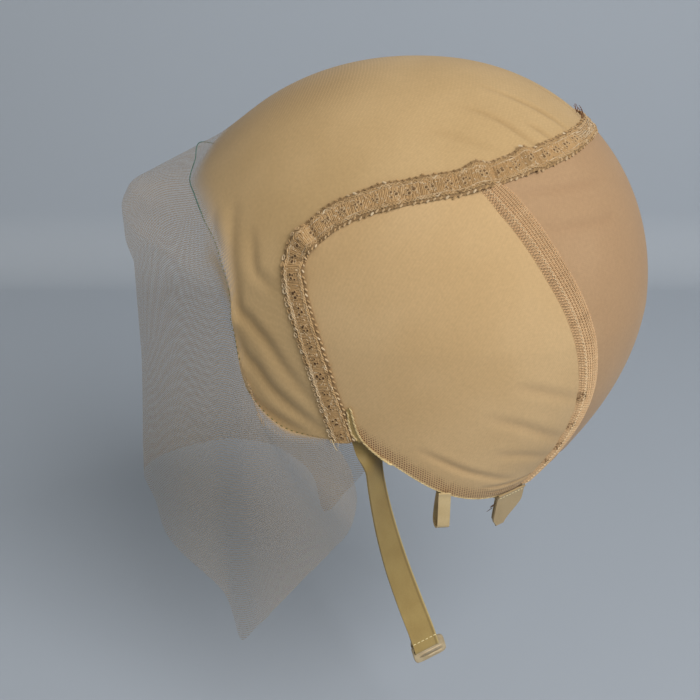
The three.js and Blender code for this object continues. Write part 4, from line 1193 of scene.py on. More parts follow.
class Route:
    """A strip's middle line on the cap, read by distance from its start in millimetres. Its lift raises what
    is laid on it, and its shift moves that sideways."""

    def __init__(self, line, lift, shift):
        self.share = np.linspace(0, 1, ROUTE_SAMPLES)
        self.points = line(self.share)
        self.walked = walked(self.points)
        self.length = self.walked[-1]
        self.lift, self.shift = lift, shift
        self.normals = form_normal(self.points)
        self.along = unit(np.gradient(self.points, axis=0))
        self.across = unit(np.cross(self.along, self.normals))

    def read(self, values, distance):
        """Values of the middle line at distances."""
        return read_along(distance, self.walked, values)

    def sides(self, distance):
        """Signed share of the half length, from -1 at the start to 1 at the end."""
        return 2 * np.interp(distance, self.walked, self.share) - 1

    def place(self, distance, sideways, rise):
        """Points laid on the strip at distances along and sideways of its middle, at a rise over its lift.
        Past an end they go straight on."""
        distance, sideways, rise = np.broadcast_arrays(distance, sideways, rise)
        past = distance - np.clip(distance, 0, self.length)
        aside = sideways + self.shift(self, distance, sideways)
        points = self.read(self.points, distance) + self.read(self.along, distance) * past[..., None]
        points = points + self.read(self.across, distance) * aside[..., None]
        return on_form(points, self.lift(self, distance, sideways) + rise)

    def up(self, distance):
        """Outward directions at distances."""
        return unit(self.read(self.normals, distance))


def level(height):
    """A lift or a shift that is the same everywhere."""
    return lambda route, distance, sideways: np.full(distance.shape, height)


def trim_line(share):
    """The trim's middle line from the right ear over the crown to the left ear."""
    side = 2 * share - 1
    points = middle_curve(TRIM_SEAM, np.abs(side) * EAR_ROW)
    return points * np.where(side[..., None] < 0, MIRROR, 1)


def trim_lift(route, distance, sideways):
    """Lift of the trim: its place over the cloth, lower to its edges, with a ridge and a pleat beside it
    where it bunches."""
    side = route.sides(distance)
    lift = SKIN_LIFT + np.abs(wander(distance, TRIM_SEED, *TRIM_RIPPLE))
    lift = lift - TRIM_EDGE_DROP * (2 * sideways / TRIM_WIDTH) ** 2
    lift = lift + CROWN_STRETCH.height * bell(side, CROWN_STRETCH.width)
    for pucker in TRIM_PUCKERS:
        away = side - pucker.place
        pleat = bell(away + PLEAT_OFFSET * pucker.width, PLEAT_WIDTH * pucker.width)
        lift = lift + pucker.height * (bell(away, pucker.width) - PLEAT_DEPTH * pleat)
    return np.maximum(lift, PLEAT_FLOOR)


def trim_shift(route, distance, sideways):
    """Sideways shift of the trim: it wanders a little, its edges spread and lean where it bunches, and it is
    drawn narrower over the crown."""
    side = route.sides(distance)
    shift = wander(distance, TRIM_SEED + 1, *TRIM_SWAY)
    for pucker in (*TRIM_PUCKERS, CROWN_STRETCH):
        shift = shift + bell(side - pucker.place, pucker.width) * (
            pucker.lean + pucker.spread * sideways / (TRIM_WIDTH / 2))
    return shift


def strands(route, distance, sideways, rise, radius, closed=False, sides=4):
    """Strands laid on a route: rows of distances, sideways places and rises over the strip's lift."""
    return tubes(route.place(distance, sideways, rise), route.up(distance), radius, sides, closed)


def picot_strands(route):
    """Edge loops: a slanted dash at each stitch on both edges, and a ring by the ear, each a little off in
    place, size and tone."""
    count = int(route.length / TRIM_STITCH)
    turn = np.linspace(0, 2 * np.pi, PICOT_STATIONS, endpoint=False)
    parts = []
    for edge in (-1, 1):
        generator = np.random.default_rng(TRIM_SEED + edge)
        off, aside, size, shade = generator.normal(0, PICOT_JITTER, (4, count, 1))
        middle = (np.arange(count)[:, None] + 0.5) * route.length / count + off
        rear, front, ear = PICOT_TONES
        by_ear = smoothstep(np.abs(route.sides(middle)), *PICOT_EAR) * (edge > 0)
        tone = np.clip((front + (ear - front) * by_ear if edge > 0 else rear) + shade, *PICOT_TONE_RANGE)
        reach, breadth, slant, radius = (
            dash + (ring - dash) * by_ear for dash, ring in zip(PICOT_DASH, PICOT_RING))
        distance = middle + reach * (1 + size) * np.cos(turn)
        sideways = edge * (PICOT_PLACE + aside + (1 + size) * (breadth * np.sin(turn) + slant * np.cos(turn)))
        parts.append((*strands(route, distance, sideways, YARN_LIFT, radius, True), tone))
    return parts


def chain_strands(route):
    """Chain stitch rows: two strands that cross over and under at each stitch."""
    count = int(route.length / TRIM_STITCH * CHAIN_STATIONS)
    distance = np.linspace(CHAIN_END, route.length - CHAIN_END, count)[None]
    phase = 2 * np.pi * distance / TRIM_STITCH
    by_ear = smoothstep(np.abs(route.sides(distance)), *PICOT_EAR)
    plain, ear = CHAIN_TONES
    parts = []
    for edge in (-1, 1):
        for strand in (0, 1):
            sway = np.sin(phase + np.pi * strand) * CHAIN_SWAY
            rise = YARN_LIFT + CHAIN_RISE + CHAIN_CROSSING * np.cos(phase / 2 + np.pi * strand)
            tone = plain + (ear - plain) * by_ear * (edge > 0)
            tone = tone + wander(distance, TRIM_SEED + edge + 4 * strand, *CHAIN_WANDER)
            tone = np.clip(tone, *CHAIN_TONE_RANGE)
            parts.append((*strands(route, distance, edge * CHAIN_PLACE + sway, rise, YARN_RADIUS), tone))
    return parts


def runner_strands(route):
    """Straight runners beside the chain rows, and more of them in the middle where the trim is stretched."""
    whole = np.linspace(RUNNER_END, route.length - RUNNER_END, int(route.length))[None]
    crown = route.length / 2 * (1 + np.linspace(-CROWN_REACH, CROWN_REACH, CROWN_STATIONS))[None]
    lines = [(whole, edge * RUNNER_PLACE, RUNNER_RADIUS) for edge in (-1, 1)]
    lines += [(crown, place, CROWN_RUNNER_RADIUS) for place in CROWN_RUNNERS]
    parts = []
    for number, (distance, place, radius) in enumerate(lines):
        sway = wander(distance, TRIM_SEED + number, *RUNNER_SWAY)
        tone = RUNNER_TONE + wander(distance, TRIM_SEED + number, *RUNNER_WANDER)
        body = strands(route, distance, place + sway, YARN_LIFT + RUNNER_RISE, radius)
        parts.append((*body, np.clip(tone, *RUNNER_TONE_RANGE)))
    return parts


def rung_strands(route):
    """Knitted ground: rungs across the middle of the trim, slightly slanted in turn."""
    count = int(route.length / RUNG_STEP)
    middle = (np.arange(count) + 0.5) * route.length / count
    middle = middle[np.abs(route.sides(middle)) > CROWN_REACH, None]
    slant, shade = np.random.default_rng(TRIM_SEED).normal(0, RUNG_JITTER, (2, len(middle), 1))
    slant = slant + np.where(np.arange(len(middle)) % 2 == 0, RUNG_SLANT, -RUNG_SLANT)[:, None]
    share = np.linspace(-1, 1, RUNG_STATIONS)
    distance = middle + slant * share
    body = strands(route, distance, RUNG_REACH * share, YARN_LIFT - RUNG_SINK, RUNG_RADIUS)
    return [(*body, np.clip(RUNG_TONE + shade, *RUNG_TONE_RANGE))]


def fleck_strands(route):
    """Flecks: short threads strewn over the knitted ground at random, most of them pale."""
    generator = np.random.default_rng(TRIM_SEED + 2)
    middle, aside, lean, tone = generator.random((4, FLECK_COUNT, 1))
    share = np.linspace(-0.5, 0.5, 3) * FLECK_LENGTH
    turn = np.pi * lean
    distance = FLECK_END + (route.length - 2 * FLECK_END) * middle + share * np.cos(turn)
    sideways = CHAIN_PLACE * (2 * aside - 1) + share * np.sin(turn)
    body = strands(route, distance, sideways, YARN_LIFT + FLECK_RADIUS / 2, FLECK_RADIUS)
    low, high = FLECK_TONES
    return [(*body, low + (high - low) * np.sqrt(tone))]


def cluster_strands(route):
    """Eyelet clusters: four dark dots in a diamond, each in a ring of yarn."""
    count = int(route.length / CLUSTER_STEP)
    middle = (np.arange(count) + 0.5) * route.length / count
    middle = middle[np.abs(route.sides(middle)) > CROWN_REACH]
    holes = np.array(CLUSTER_HOLES)
    along = (middle[:, None] + holes[:, 0]).reshape(-1, 1)
    aside = np.broadcast_to(holes[:, 1], (len(middle), len(holes))).reshape(-1, 1)
    turn = np.linspace(0, 2 * np.pi, CLUSTER_STATIONS, endpoint=False)
    off, astray, swell = np.random.default_rng(TRIM_SEED).normal(0, CLUSTER_JITTER, (3, *along.shape))
    paler = CLUSTER_FADE * (1 - smoothstep(np.abs(route.sides(along)), *PICOT_EAR))
    parts = []
    for size, radius, rise, tone in CLUSTER_RINGS:
        distance = along + off + size * (1 + swell) * np.cos(turn)
        sideways = aside + astray + size * (1 + swell) * np.sin(turn)
        body = strands(route, distance, sideways, YARN_LIFT + rise, radius * (1 + swell), True)
        parts.append((*body, tone + paler))
    return parts


def strip_ground(route, width, thickness, grid):
    """The closed ground of a strip: its points, quads, and each point's distance and sideways place."""
    distance, sideways = np.meshgrid(np.linspace(0, route.length, grid[0]),
                                     np.linspace(-width / 2, width / 2, grid[1]), indexing="ij")
    body = wall(route.place(distance, sideways, thickness), route.place(distance, sideways, 0.0))
    return *body, np.tile(distance.ravel(), 2), np.tile(sideways.ravel(), 2)


class WIGCAP_OT_trim_band(bpy.types.Operator):
    """Stretch lace trim: a knitted ground with picot edges, chain rows and eyelet clusters"""

    bl_idname = "wigcap.trim_band"
    bl_label = "Trim Band"

    def execute(self, context):
        _, colours = settings(context)
        material = yarn_material("trim_yarn", colours.trim_pale, colours.trim_middle, colours.trim_dark)
        route = Route(trim_line, trim_lift, trim_shift)
        points, quads, distance, sideways = strip_ground(route, TRIM_GROUND_WIDTH, TRIM_GROUND_THICKNESS,
                                                         TRIM_GROUND_GRID)
        tone = np.where(np.abs(sideways) < RUNG_REACH, *TRIM_GROUND_TONES)
        tone = np.where(np.abs(route.sides(distance)) < CROWN_REACH, CROWN_GROUND_TONE, tone)
        parts = [(points, quads, tone)]
        for make in (picot_strands, chain_strands, runner_strands, rung_strands, fleck_strands,
                     cluster_strands):
            parts += make(route)
        points, quads, tones = joined(parts)
        put("trim_band_yarns", points, quads, material, "trim", None, {"tone": tones}, ("trim_band",))
        return {"FINISHED"}


def tape_line(share):
    """The tape's middle line from under the trim to the hem."""
    return tape_seam(TAPE_START + (TAPE_END - TAPE_START) * share)


def tape_lift(route, distance, sideways):
    """Lift of a tape over the cloth, lower to its edges and where its head is tucked under the trim."""
    drop = TAPE_EDGE_DROP * (2 * sideways / TAPE_WIDTH) ** 4
    return TAPE_LIFT - drop - TAPE_TUCK * (1 - smoothstep(distance, *TAPE_TUCK_REACH))


def honeycomb_strands(route, low, high, rise):
    """Honeycomb net: wavy threads side by side, each swaying against its neighbours so that they meet."""
    row_step = NET_PITCH * NET_ROW_RISE
    rows = int((high - low) / row_step)
    periods = int(route.length / NET_PITCH)
    corners = np.array(NET_CORNERS)
    distance = ((np.arange(periods)[:, None] + corners) * route.length / periods).ravel()
    sway = np.tile([0.5, 0.5, -0.5, -0.5], periods) * row_step * NET_SWAY
    thread = np.arange(rows + 1)[:, None]
    sideways = low + thread * (high - low) / rows + np.where(thread % 2 == 0, 1, -1) * sway
    distance = np.broadcast_to(distance, sideways.shape)
    tone = NET_TONE + wander(distance, TRIM_SEED, *NET_WANDER)
    patchy = GATHER_SHADE * smoothstep(sideways, *GATHER_SIDE)
    patchy = patchy * np.random.default_rng(TRIM_SEED).random(distance.shape)
    for gather in TAPE_GATHERS:
        tone = tone - patchy * bell(distance / route.length - gather, GATHER_WIDTH)
    tone = np.clip(tone, 0, 1)
    return [(*strands(route, distance, sideways, rise, NET_RADIUS), tone)]


def zigzag_strand(route, place, rise):
    """A zigzag stitch: a thread that swings from side to side of its line."""
    count = int(route.length / ZIGZAG_STEP) * 2
    distance = np.linspace(ZIGZAG_END, route.length - ZIGZAG_END, count + 1)[None]
    sway = ZIGZAG_SWAY * np.where(np.arange(count + 1) % 2 == 0, 1, -1)
    return [(*strands(route, distance, place + sway, rise, ZIGZAG_RADIUS), ZIGZAG_TONE)]


class WIGCAP_OT_seam_tapes(bpy.types.Operator):
    """Honeycomb mesh tapes over the back seams, with a zigzag stitch down their length"""

    bl_idname = "wigcap.seam_tapes"
    bl_label = "Seam Tapes"

    def execute(self, context):
        _, colours = settings(context)
        material = yarn_material("tape_mesh", colours.tape_pale, colours.tape_middle, colours.tape_dark)
        route = Route(tape_line, tape_lift, level(0.0))
        points, quads, _, sideways = strip_ground(route, TAPE_GROUND_WIDTH, TAPE_GROUND_THICKNESS,
                                                  TAPE_GROUND_GRID)
        half = TAPE_WIDTH / 2 - NET_MARGIN
        rise = TAPE_GROUND_THICKNESS + NET_RADIUS * NET_RISE
        parts = [(points, quads, np.where(sideways > TAPE_SPLIT, *TAPE_GROUND_TONES))]
        parts += honeycomb_strands(route, -half, TAPE_SPLIT - TAPE_GAP, rise)
        parts += honeycomb_strands(route, TAPE_SPLIT + TAPE_GAP, half, rise)
        parts += zigzag_strand(route, TAPE_SPLIT, rise + NET_RADIUS)
        points, quads, tones = joined(parts)
        for name in ("left", "right"):
            put(f"seam_tape_{name}_mesh", points, quads, material, "tape", None, {"tone": tones},
                (f"seam_tape_{name}",))
            points, quads = mirrored(points, quads)
        return {"FINISHED"}


def hem_line(share):
    """The hem from the left ear round the nape to the right ear."""
    left = np.clip(share / CORD_SIDE_SHARE, 0, 1)
    right = np.clip((1 - share) / CORD_SIDE_SHARE, 0, 1)
    nape = np.clip((share - CORD_SIDE_SHARE) / (1 - 2 * CORD_SIDE_SHARE), 0, 1)
    points = np.where((share < CORD_SIDE_SHARE)[..., None], side_hem(left), nape_hem(nape))
    return np.where((share > 1 - CORD_SIDE_SHARE)[..., None], side_hem(right) * MIRROR, points)


def ear_tail(tail):
    """Line of a free end at the ear: from beside the trim's rear edge straight down to the hem, which it
    reaches from a clearance above it."""
    trim = Route(trim_line, level(0.0), level(0.0))
    rows = [trim.place(np.array([trim.length - tail.rise]), -tail.aside, 0.0)]
    for place, clear in tail.hem:
        rows.append(side_hem(np.array([place])) + np.array([0.0, 0.0, clear]))
    rows = np.concatenate(rows)
    return lambda share: curve(rows, share * (len(rows) - 1))


def cord_strands(route, start, end):
    """A cord of two strands that twist round each other from a start to an end."""
    distance = np.linspace(start, end, int((end - start) / CORD_TWIST * CORD_STATIONS))[None]
    parts = []
    for strand in (0, 1):
        turn = 2 * np.pi * distance / CORD_TWIST + np.pi * strand
        sideways, rise = CORD_OFFSET * np.cos(turn), CORD_OFFSET * np.sin(turn)
        tone = CORD_TONE + wander(distance, TRIM_SEED + strand, *CORD_WANDER)
        body = strands(route, distance, sideways, rise, CORD_STRAND, sides=CORD_SIDES)
        parts.append((*body, np.clip(tone, *CORD_TONE_RANGE)))
    return parts


class WIGCAP_OT_hem_cord(bpy.types.Operator):
    """Pale cord of two twisted strands along the lower edge, with two free ends at each ear"""

    bl_idname = "wigcap.hem_cord"
    bl_label = "Hem Cord"

    def execute(self, context):
        _, colours = settings(context)
        material = yarn_material("hem_cord_yarn", colours.cord, colours.cord_shade, colours.trim_dark)
        route = Route(hem_line, level(CLOTH / 2), level(0.0))
        start = np.interp(CORD_EAR_START * CORD_SIDE_SHARE, route.share, route.walked)
        parts = cord_strands(route, start, route.length - start)
        for row in TAILS:
            tail = Route(ear_tail(row), level(SKIN_LIFT), level(0.0))
            for points, quads, tone in cord_strands(tail, 0.0, tail.length):
                parts += [(points, quads, tone), (*mirrored(points, quads), tone)]
        points, quads, tones = joined(parts)
        put("hem_cord_strands", points, quads, material, "cord", None, {"tone": tones}, ("hem_cord",))
        return {"FINISHED"}


def ribbon(centres, across, normals, width, thickness, lanes=RIBBON_LANES, edge=0.0):
    """A flat ribbon along a path, whose cross-section is a slim box with raised edges: returns points, quads
    and cloth coordinates."""
    sideways = np.linspace(-0.5, 0.5, lanes + 1)
    swell = edge * smoothstep(np.abs(sideways), *RIBBON_RIM)
    aside = sideways * np.broadcast_to(width, (len(centres),))[:, None]
    base = centres[:, None] + across[:, None] * aside[..., None]
    half = (thickness / 2 + swell)[None, :, None]
    points, quads = wall(base + normals[:, None] * half, base - normals[:, None] * half)
    uv = np.stack(np.broadcast_arrays(aside, walked(centres)[:, None]), -1).reshape(-1, 2)
    return points, quads, np.tile(uv, (2, 1))


def loop_frame(loop):
    """Where a loop sits on the hem: its place, and the directions out, along and down."""
    origin = on_form(side_hem(np.array([loop.place])))
    out = form_normal(origin)[0]
    along = unit(np.cross((0, 0, 1), out))
    down = unit(np.cross(along, out))
    return origin[0], out, along, down * (-1 if down[2] > 0 else 1)


def loop_ribbon(loop):
    """A ribbon folded round the hem: down outside, round the bend, where it goes askew and draws in, and up
    inside. Returns its points, quads, cloth coordinates and the painted shade of its inner ply, growing
    up the inside."""
    origin, out, along, down = loop_frame(loop)
    middle = (loop.lift + loop.inner + RIBBON_THICKNESS) / 2
    reach = (loop.lift - loop.inner) / 2
    low = loop.drop - reach
    turn = np.linspace(0, np.pi, LOOP_BEND)[1:-1]
    down_and_up = np.linspace(-loop.rise, low, LOOP_OUTSIDE), np.linspace(low, 0, LOOP_INSIDE)
    fall = np.concatenate([down_and_up[0], low + reach * np.sin(turn), down_and_up[1]])
    plies = np.full(LOOP_OUTSIDE, middle + reach), np.full(LOOP_INSIDE, middle - reach)
    lift = np.concatenate([plies[0], middle + reach * np.cos(turn), plies[1]])
    lift = lift + loop.sway * np.maximum(0, fall)
    number, last = np.arange(len(fall)), len(fall) - 1
    # Painted shade grows over the inner ply, which lies in shadow between the plies
    inner = smoothstep(number, LOOP_OUTSIDE, last + 1 - LOOP_SHADED)
    narrow = loop.taper * smoothstep(fall, loop.drop * LOOP_TAPER_START, loop.drop)
    askew = np.sin(np.pi * np.clip((number - LOOP_OUTSIDE) / (last - LOOP_OUTSIDE), 0, 1))
    rounded = LOOP_ROUND * loop.taper * smoothstep(fall, loop.drop * LOOP_ROUND_START, loop.drop) ** 2
    aside = loop.skew * askew + (rounded - narrow) * loop.width / 2
    centres = origin + fall[:, None] * down + lift[:, None] * out + aside[:, None] * along
    tangent = unit(np.gradient(centres, axis=0))
    across = np.broadcast_to(along, tangent.shape)
    normals = unit(np.cross(across, tangent))
    width = loop.width * (1 - narrow - rounded)
    points, quads, uv = ribbon(centres, across, normals, width, RIBBON_THICKNESS)
    lanes = len(points) // 2 // len(fall)
    return points, quads, uv, np.tile(np.repeat(LOOP_INNER_SHADE * inner, lanes), 2)


def dashes(starts, ends, ups, radius):
    """Stitches: short round strands from starts to ends that bow up in the middle."""
    share = np.linspace(0, 1, len(STITCH_PROFILE))
    paths = starts[:, None] + (ends - starts)[:, None] * share[None, :, None]
    paths = paths + ups[:, None] * (STITCH_BOW * np.sin(np.pi * share))[None, :, None]
    return tubes(paths, np.broadcast_to(ups[:, None], paths.shape), radius * np.array(STITCH_PROFILE))


def stitch_row(middle, across, out, width, step, length, radius):
    """A row of stitches across a ribbon, round its middle."""
    places = np.linspace(-width / 2, width / 2 - length, round(width / step))[:, None]
    starts = middle + across * places
    return dashes(starts, starts + across * length, np.broadcast_to(out, starts.shape), radius)


class WIGCAP_OT_loops(bpy.types.Operator):
    """Ribbon loops on the hem and folded tabs at the nape, with their stitches"""

    bl_idname = "wigcap.loops"
    bl_label = "Loops and Tabs"

    def execute(self, context):
        sizes, colours = settings(context)
        thread = yarn_material("tab_stitches", colours.stitch, colours.tape_pale, colours.trim_dark)
        tones = {"hem_loop": (colours.loop, colours.loop_shade), "nape_tab": (colours.tab, colours.tab_shade)}
        for kind, loop in (("hem_loop", HEM_LOOP), ("nape_tab", NAPE_TAB)):
            material = ribbon_material(f"{kind}_ribbon", *tones[kind], LOOP_FINISH, sizes)
            points, quads, uv, inside = loop_ribbon(loop)
            origin, out, along, down = loop_frame(loop)
            top = origin + out * (loop.lift + RIBBON_THICKNESS) - down * TAB_STITCH_RISE
            stitches = stitch_row(top, along, out, loop.width * TAB_STITCH_WIDTH, *TAB_STITCH)
            for name in ("left", "right"):
                put(f"{kind}_{name}_ribbon", points, quads, material, "loop", uv, {"inside": inside},
                    (f"{kind}_{name}",))
                if loop.stitched:
                    put(f"{kind}_{name}_stitches", *stitches, thread, "cord", None, {"tone": 1.0})
                points, quads = mirrored(points, quads)
                stitches = mirrored(*stitches)
        return {"FINISHED"}


def strap_path(shares):
    """The strap's middle line, laid inside the cloth at its upper end."""
    rows = STRAP_PATH.copy()
    sewn = len(STRAP_LIFTS)
    rows[:sewn] = on_form(rows[:sewn], np.array(STRAP_LIFTS))
    return curve(rows, shares * (len(rows) - 1))


def strap_facing(shares):
    """The way the strap's face looks: to the rear below the hem, and part of the way back lower down."""
    there = TWIST_HIGH_TURN * smoothstep(shares, TWIST_START, TWIST_HIGH)
    back = (TWIST_HIGH_TURN - TWIST_LOW_TURN) * smoothstep(shares, TWIST_HIGH, TWIST_LOW)
    turn = np.radians(there - back)
    return np.stack([np.cos(turn), np.sin(turn), 0 * turn], -1)


def strap_frame():
    """The strap's end: its tip and the directions along, out and across."""
    aim, tip = strap_path(np.array([HOOK_AIM, 1.0]))
    along = unit(tip - aim)
    across = unit(np.cross(along, strap_facing(np.array(1.0))))
    return tip, along, np.cross(across, along), across


def strap_ribbon():
    """The strap: down its path, round a fold through the hook's slot and back up behind itself."""
    tip, along, out, across = strap_frame()
    down, bend, climbing = STRAP_STATIONS
    shares = np.linspace(0, 1, down)
    front = strap_path(shares)
    kept = np.linalg.norm(front - tip, axis=-1) > STRAP_FOLD_RADIUS
    front, facing = front[kept], strap_facing(shares[kept])
    turn = np.linspace(0, np.pi, bend)[1:]
    radius = STRAP_FOLD_RADIUS
    fold = tip + along * (radius * (np.sin(turn) - 1))[:, None] + out * (radius * (np.cos(turn) - 1))[:, None]
    climb = np.linspace(STRAP_FOLD_START, STRAP_FOLD_LENGTH, climbing)
    after, before = STRAP_FOLD_CLOSE
    closing = smoothstep(climb, after, STRAP_FOLD_LENGTH - before)
    gap = 2 * radius + (STRAP_THICKNESS + STRAP_FOLD_GAP - 2 * radius) * closing
    back = tip - along * (radius + climb)[:, None] - out * gap[:, None]
    centres = np.concatenate([front, fold, back])
    tangent = unit(np.gradient(centres, axis=0))
    sideways = unit(np.cross(tangent[: len(front)], facing))
    sideways = np.concatenate([sideways, np.broadcast_to(across, (len(fold) + len(back), 3))])
    normals = unit(np.cross(sideways, tangent))
    return ribbon(centres, sideways, normals, STRAP_WIDTH, STRAP_THICKNESS, STRAP_LANES, STRAP_RIM)


class WIGCAP_OT_straps(bpy.types.Operator):
    """Elastic ribbon straps with a folded, stitched end"""

    bl_idname = "wigcap.straps"
    bl_label = "Straps"

    def execute(self, context):
        sizes, colours = settings(context)
        material = ribbon_material("strap_ribbon", colours.strap, colours.strap_shade, STRAP_FINISH, sizes,
                                   (colours.stitch, STRAP_WIDTH / 2))
        thread = yarn_material("strap_stitches", colours.stitch, colours.tape_pale, colours.trim_dark)
        points, quads, uv = strap_ribbon()
        # Painted shadow of the cap over the strap's upper part, carried as the inside value
        shade = STRAP_SHADE * (1 - smoothstep(uv[:, 1] / uv[:, 1].max(), *STRAP_SHADED))
        head = Route(ear_tail(STRAP_HEAD), level(SKIN_LIFT - STRAP_HEAD_THICKNESS), level(0.0))
        head_points, head_quads, *_ = strip_ground(head, STRAP_HEAD_WIDTH, STRAP_HEAD_THICKNESS,
                                                   STRAP_HEAD_GRID)
        tip, along, out, across = strap_frame()
        row = tip - along * STITCH_ROW_PLACE + out * (STRAP_THICKNESS / 2)
        stitches = stitch_row(row, across, out, STRAP_WIDTH * STRAP_STITCH_WIDTH, *STRAP_STITCH)
        for name in ("left", "right"):
            piece = put(f"strap_{name}_ribbon", points, quads, material, "ribbon", uv, {"inside": shade},
                        (f"strap_{name}",))
            sewn = put(f"strap_{name}_stitches", *stitches, thread, "cord", None, {"tone": 1.0})
            put(f"strap_{name}_head", head_points, head_quads, material, "ribbon")
            points, quads = mirrored(points, quads)
            head_points, head_quads = mirrored(head_points, head_quads)
            stitches = mirrored(*stitches)
        return {"FINISHED"}


def rounded_rectangle(width, height, corner, turn):
    """Outline of a rectangle with round corners: a superellipse, squarer for smaller corners."""
    power = max(2.0, CORNER_SHARPNESS * min(width, height) / corner)
    cosine, sine = np.cos(turn), np.sin(turn)
    size = (np.abs(cosine) ** power + np.abs(sine) ** power) ** (-1 / power)
    return np.stack([width / 2 * cosine * size, height / 2 * sine * size], -1)


def hook_plate():
    """A rounded plate: a ring whose section is a rounded bar from its slot to its rim, and raised ribs, two
    painted pale as highlights and one dark as the painted shade of a groove.
    """
    tip, along, out, across = strap_frame()
    turn = np.linspace(0, 2 * np.pi, HOOK_STATIONS, endpoint=False)
    rim = rounded_rectangle(HOOK_WIDTH, HOOK_HEIGHT, HOOK_CORNER, turn)
    slot = rounded_rectangle(HOOK_SLOT_WIDTH, HOOK_SLOT_HEIGHT, HOOK_SLOT_CORNER, turn)
    slot = slot + np.array([HOOK_ASIDE, -HOOK_HEIGHT / 2 + HOOK_OVERLAP - HOOK_SLOT_HEIGHT / 2])
    section = np.linspace(0, 2 * np.pi, HOOK_SECTION, endpoint=False)
    half = HOOK_THICKNESS / 2
    reach = np.sign(np.cos(section)) * np.abs(np.cos(section)) ** HOOK_SQUARENESS[0]
    depth = half * np.sign(np.sin(section)) * np.abs(np.sin(section)) ** HOOK_SQUARENESS[1]
    flat = slot[:, None] + (rim - slot)[:, None] * ((reach + 1) / 2)[None, :, None]
    centre = tip + along * (HOOK_HEIGHT / 2 - HOOK_OVERLAP) - across * HOOK_ASIDE
    centre = centre - out * (STRAP_THICKNESS / 2 + HOOK_GAP + half)
    points = centre + flat[..., :1] * across + flat[..., 1:] * along + depth[None, :, None] * out
    points = points.reshape(-1, 3)
    quads = grid_quads(HOOK_STATIONS, HOOK_SECTION, True, True)
    parts = [(points, outward(points, quads), HOOK_PLATE_TONE)]
    line = np.linspace(-1, 1, RIB_STATIONS)
    full, least = RIB_TAPER
    for rib in HOOK_RIBS:
        path = centre + (rib.start + rib.width * (line + 1) / 2)[:, None] * across + along * rib.place
        path = path + out * (half * RIB_SINK)
        size = rib.radius * np.sqrt(np.clip(full - line ** 4, least, 1))
        body = tubes(path[None], np.broadcast_to(out, path[None].shape), size, RIB_SIDES)
        # The rib's tone is a painted highlight or, for the dark one, painted shade
        parts.append((*body, rib.tone))
    return joined(parts)


class WIGCAP_OT_hooks(bpy.types.Operator):
    """Flat plastic hooks on the straps' ends"""

    bl_idname = "wigcap.hooks"
    bl_label = "Strap Hooks"

    def execute(self, context):
        _, colours = settings(context)
        material = plastic_material(colours)
        points, quads, tones = hook_plate()
        for name in ("left", "right"):
            put(f"strap_hook_{name}_plate", points, quads, material, "hook", None, {"tone": tones},
                (f"strap_hook_{name}",))
            points, quads = mirrored(points, quads)
        return {"FINISHED"}


class WIGCAP_OT_marking_thread(bpy.types.Operator):
    """Running stitches of green thread along the hairline, close at the forehead and faded by the ears"""

    bl_idname = "wigcap.marking_thread"
    bl_label = "Hairline Thread"

    def execute(self, context):
        _, colours = settings(context)
        faded_colour = colours.marking_faded
        material = yarn_material("marking_thread", colours.marking, faded_colour, faded_colour)
        side = np.linspace(-MARKING_REACH, MARKING_REACH, MARKING_SAMPLES)[None]
        sides, falls = np.broadcast_arrays(side, np.array(MARKING_FALLS)[:, None])
        grid = lace_sheet(sides, falls)
        lift, _ = lace_lift(grid, sides, falls)
        normals = grid_normals(grid)[1]
        line = grid[1] + normals * (lift[1] + MARKING_LIFT)[:, None]
        way = walked(line)
        starts = np.arange(MARKING_START, way[-1] - MARKING_STEP, MARKING_STEP)
        reach = np.abs(np.interp(starts, way, side[0]))[:, None]
        faded = smoothstep(reach, *MARKING_FADE)
        length = MARKING_LONG + (MARKING_SHORT - MARKING_LONG) * faded
        spots = starts[:, None] + length * np.linspace(0, 1, len(MARKING_PROFILE))
        paths, ups = read_along(spots, way, line), read_along(spots, way, normals)
        points, quads = tubes(paths, ups, MARKING_RADIUS * np.array(MARKING_PROFILE))
        tone = np.repeat(1 - faded, len(points) // len(starts))
        put("hairline_thread", points, quads, material, "cord", None, {"tone": tone})
        return {"FINISHED"}


class WIGCAP_OT_loose_threads(bpy.types.Operator):
    """Loose ends of thread at the crown, at the ears and on the nape tabs"""

    bl_idname = "wigcap.loose_threads"
    bl_label = "Loose Threads"

    def execute(self, context):
        _, colours = settings(context)
        material = yarn_material("loose_thread", colours.cord, colours.fray, colours.trim_dark)
        route = Route(trim_line, trim_lift, trim_shift)
        share = np.linspace(0, 1, LOOSE_STATIONS)[None]
        radius = LOOSE_RADIUS - LOOSE_THINNING * share
        parts = []
        for end in LOOSE_ENDS:
            distance = route.length * (1 + end.place) / 2 + end.lean * end.length * share
            rise = YARN_LIFT + end.length * (LOOSE_RISE * share - LOOSE_DROOP * share ** 2)
            sideways = end.sideways + end.aside * end.length * share
            parts.append((*strands(route, distance, sideways, rise, radius), end.tone))
        origin, out, along, down = loop_frame(NAPE_TAB)
        for wisp in WISPS:
            step = wisp.length * share[0][:, None]
            path = origin + out * WISP_LIFT + along * (wisp.along + wisp.lean * step)
            path = path + down * (wisp.down + wisp.fall * step)
            body = tubes(path[None], np.broadcast_to(out, path[None].shape), radius)
            parts += [(*body, WISP_TONE), (*mirrored(*body), WISP_TONE)]
        points, quads, tones = joined(parts)
        put("loose_threads", points, quads, material, "trim", None, {"tone": tones})
        return {"FINISHED"}


def view_axes():
    """The camera's right, up and back directions from its turn and height."""
    turn, rise = math.radians(VIEW_TURN), math.radians(VIEW_HEIGHT)
    right = np.array([math.cos(turn), math.sin(turn), 0.0])
    back = np.array([math.sin(turn) * math.cos(rise), -math.cos(turn) * math.cos(rise), math.sin(rise)])
    return right, np.cross(back, right), back


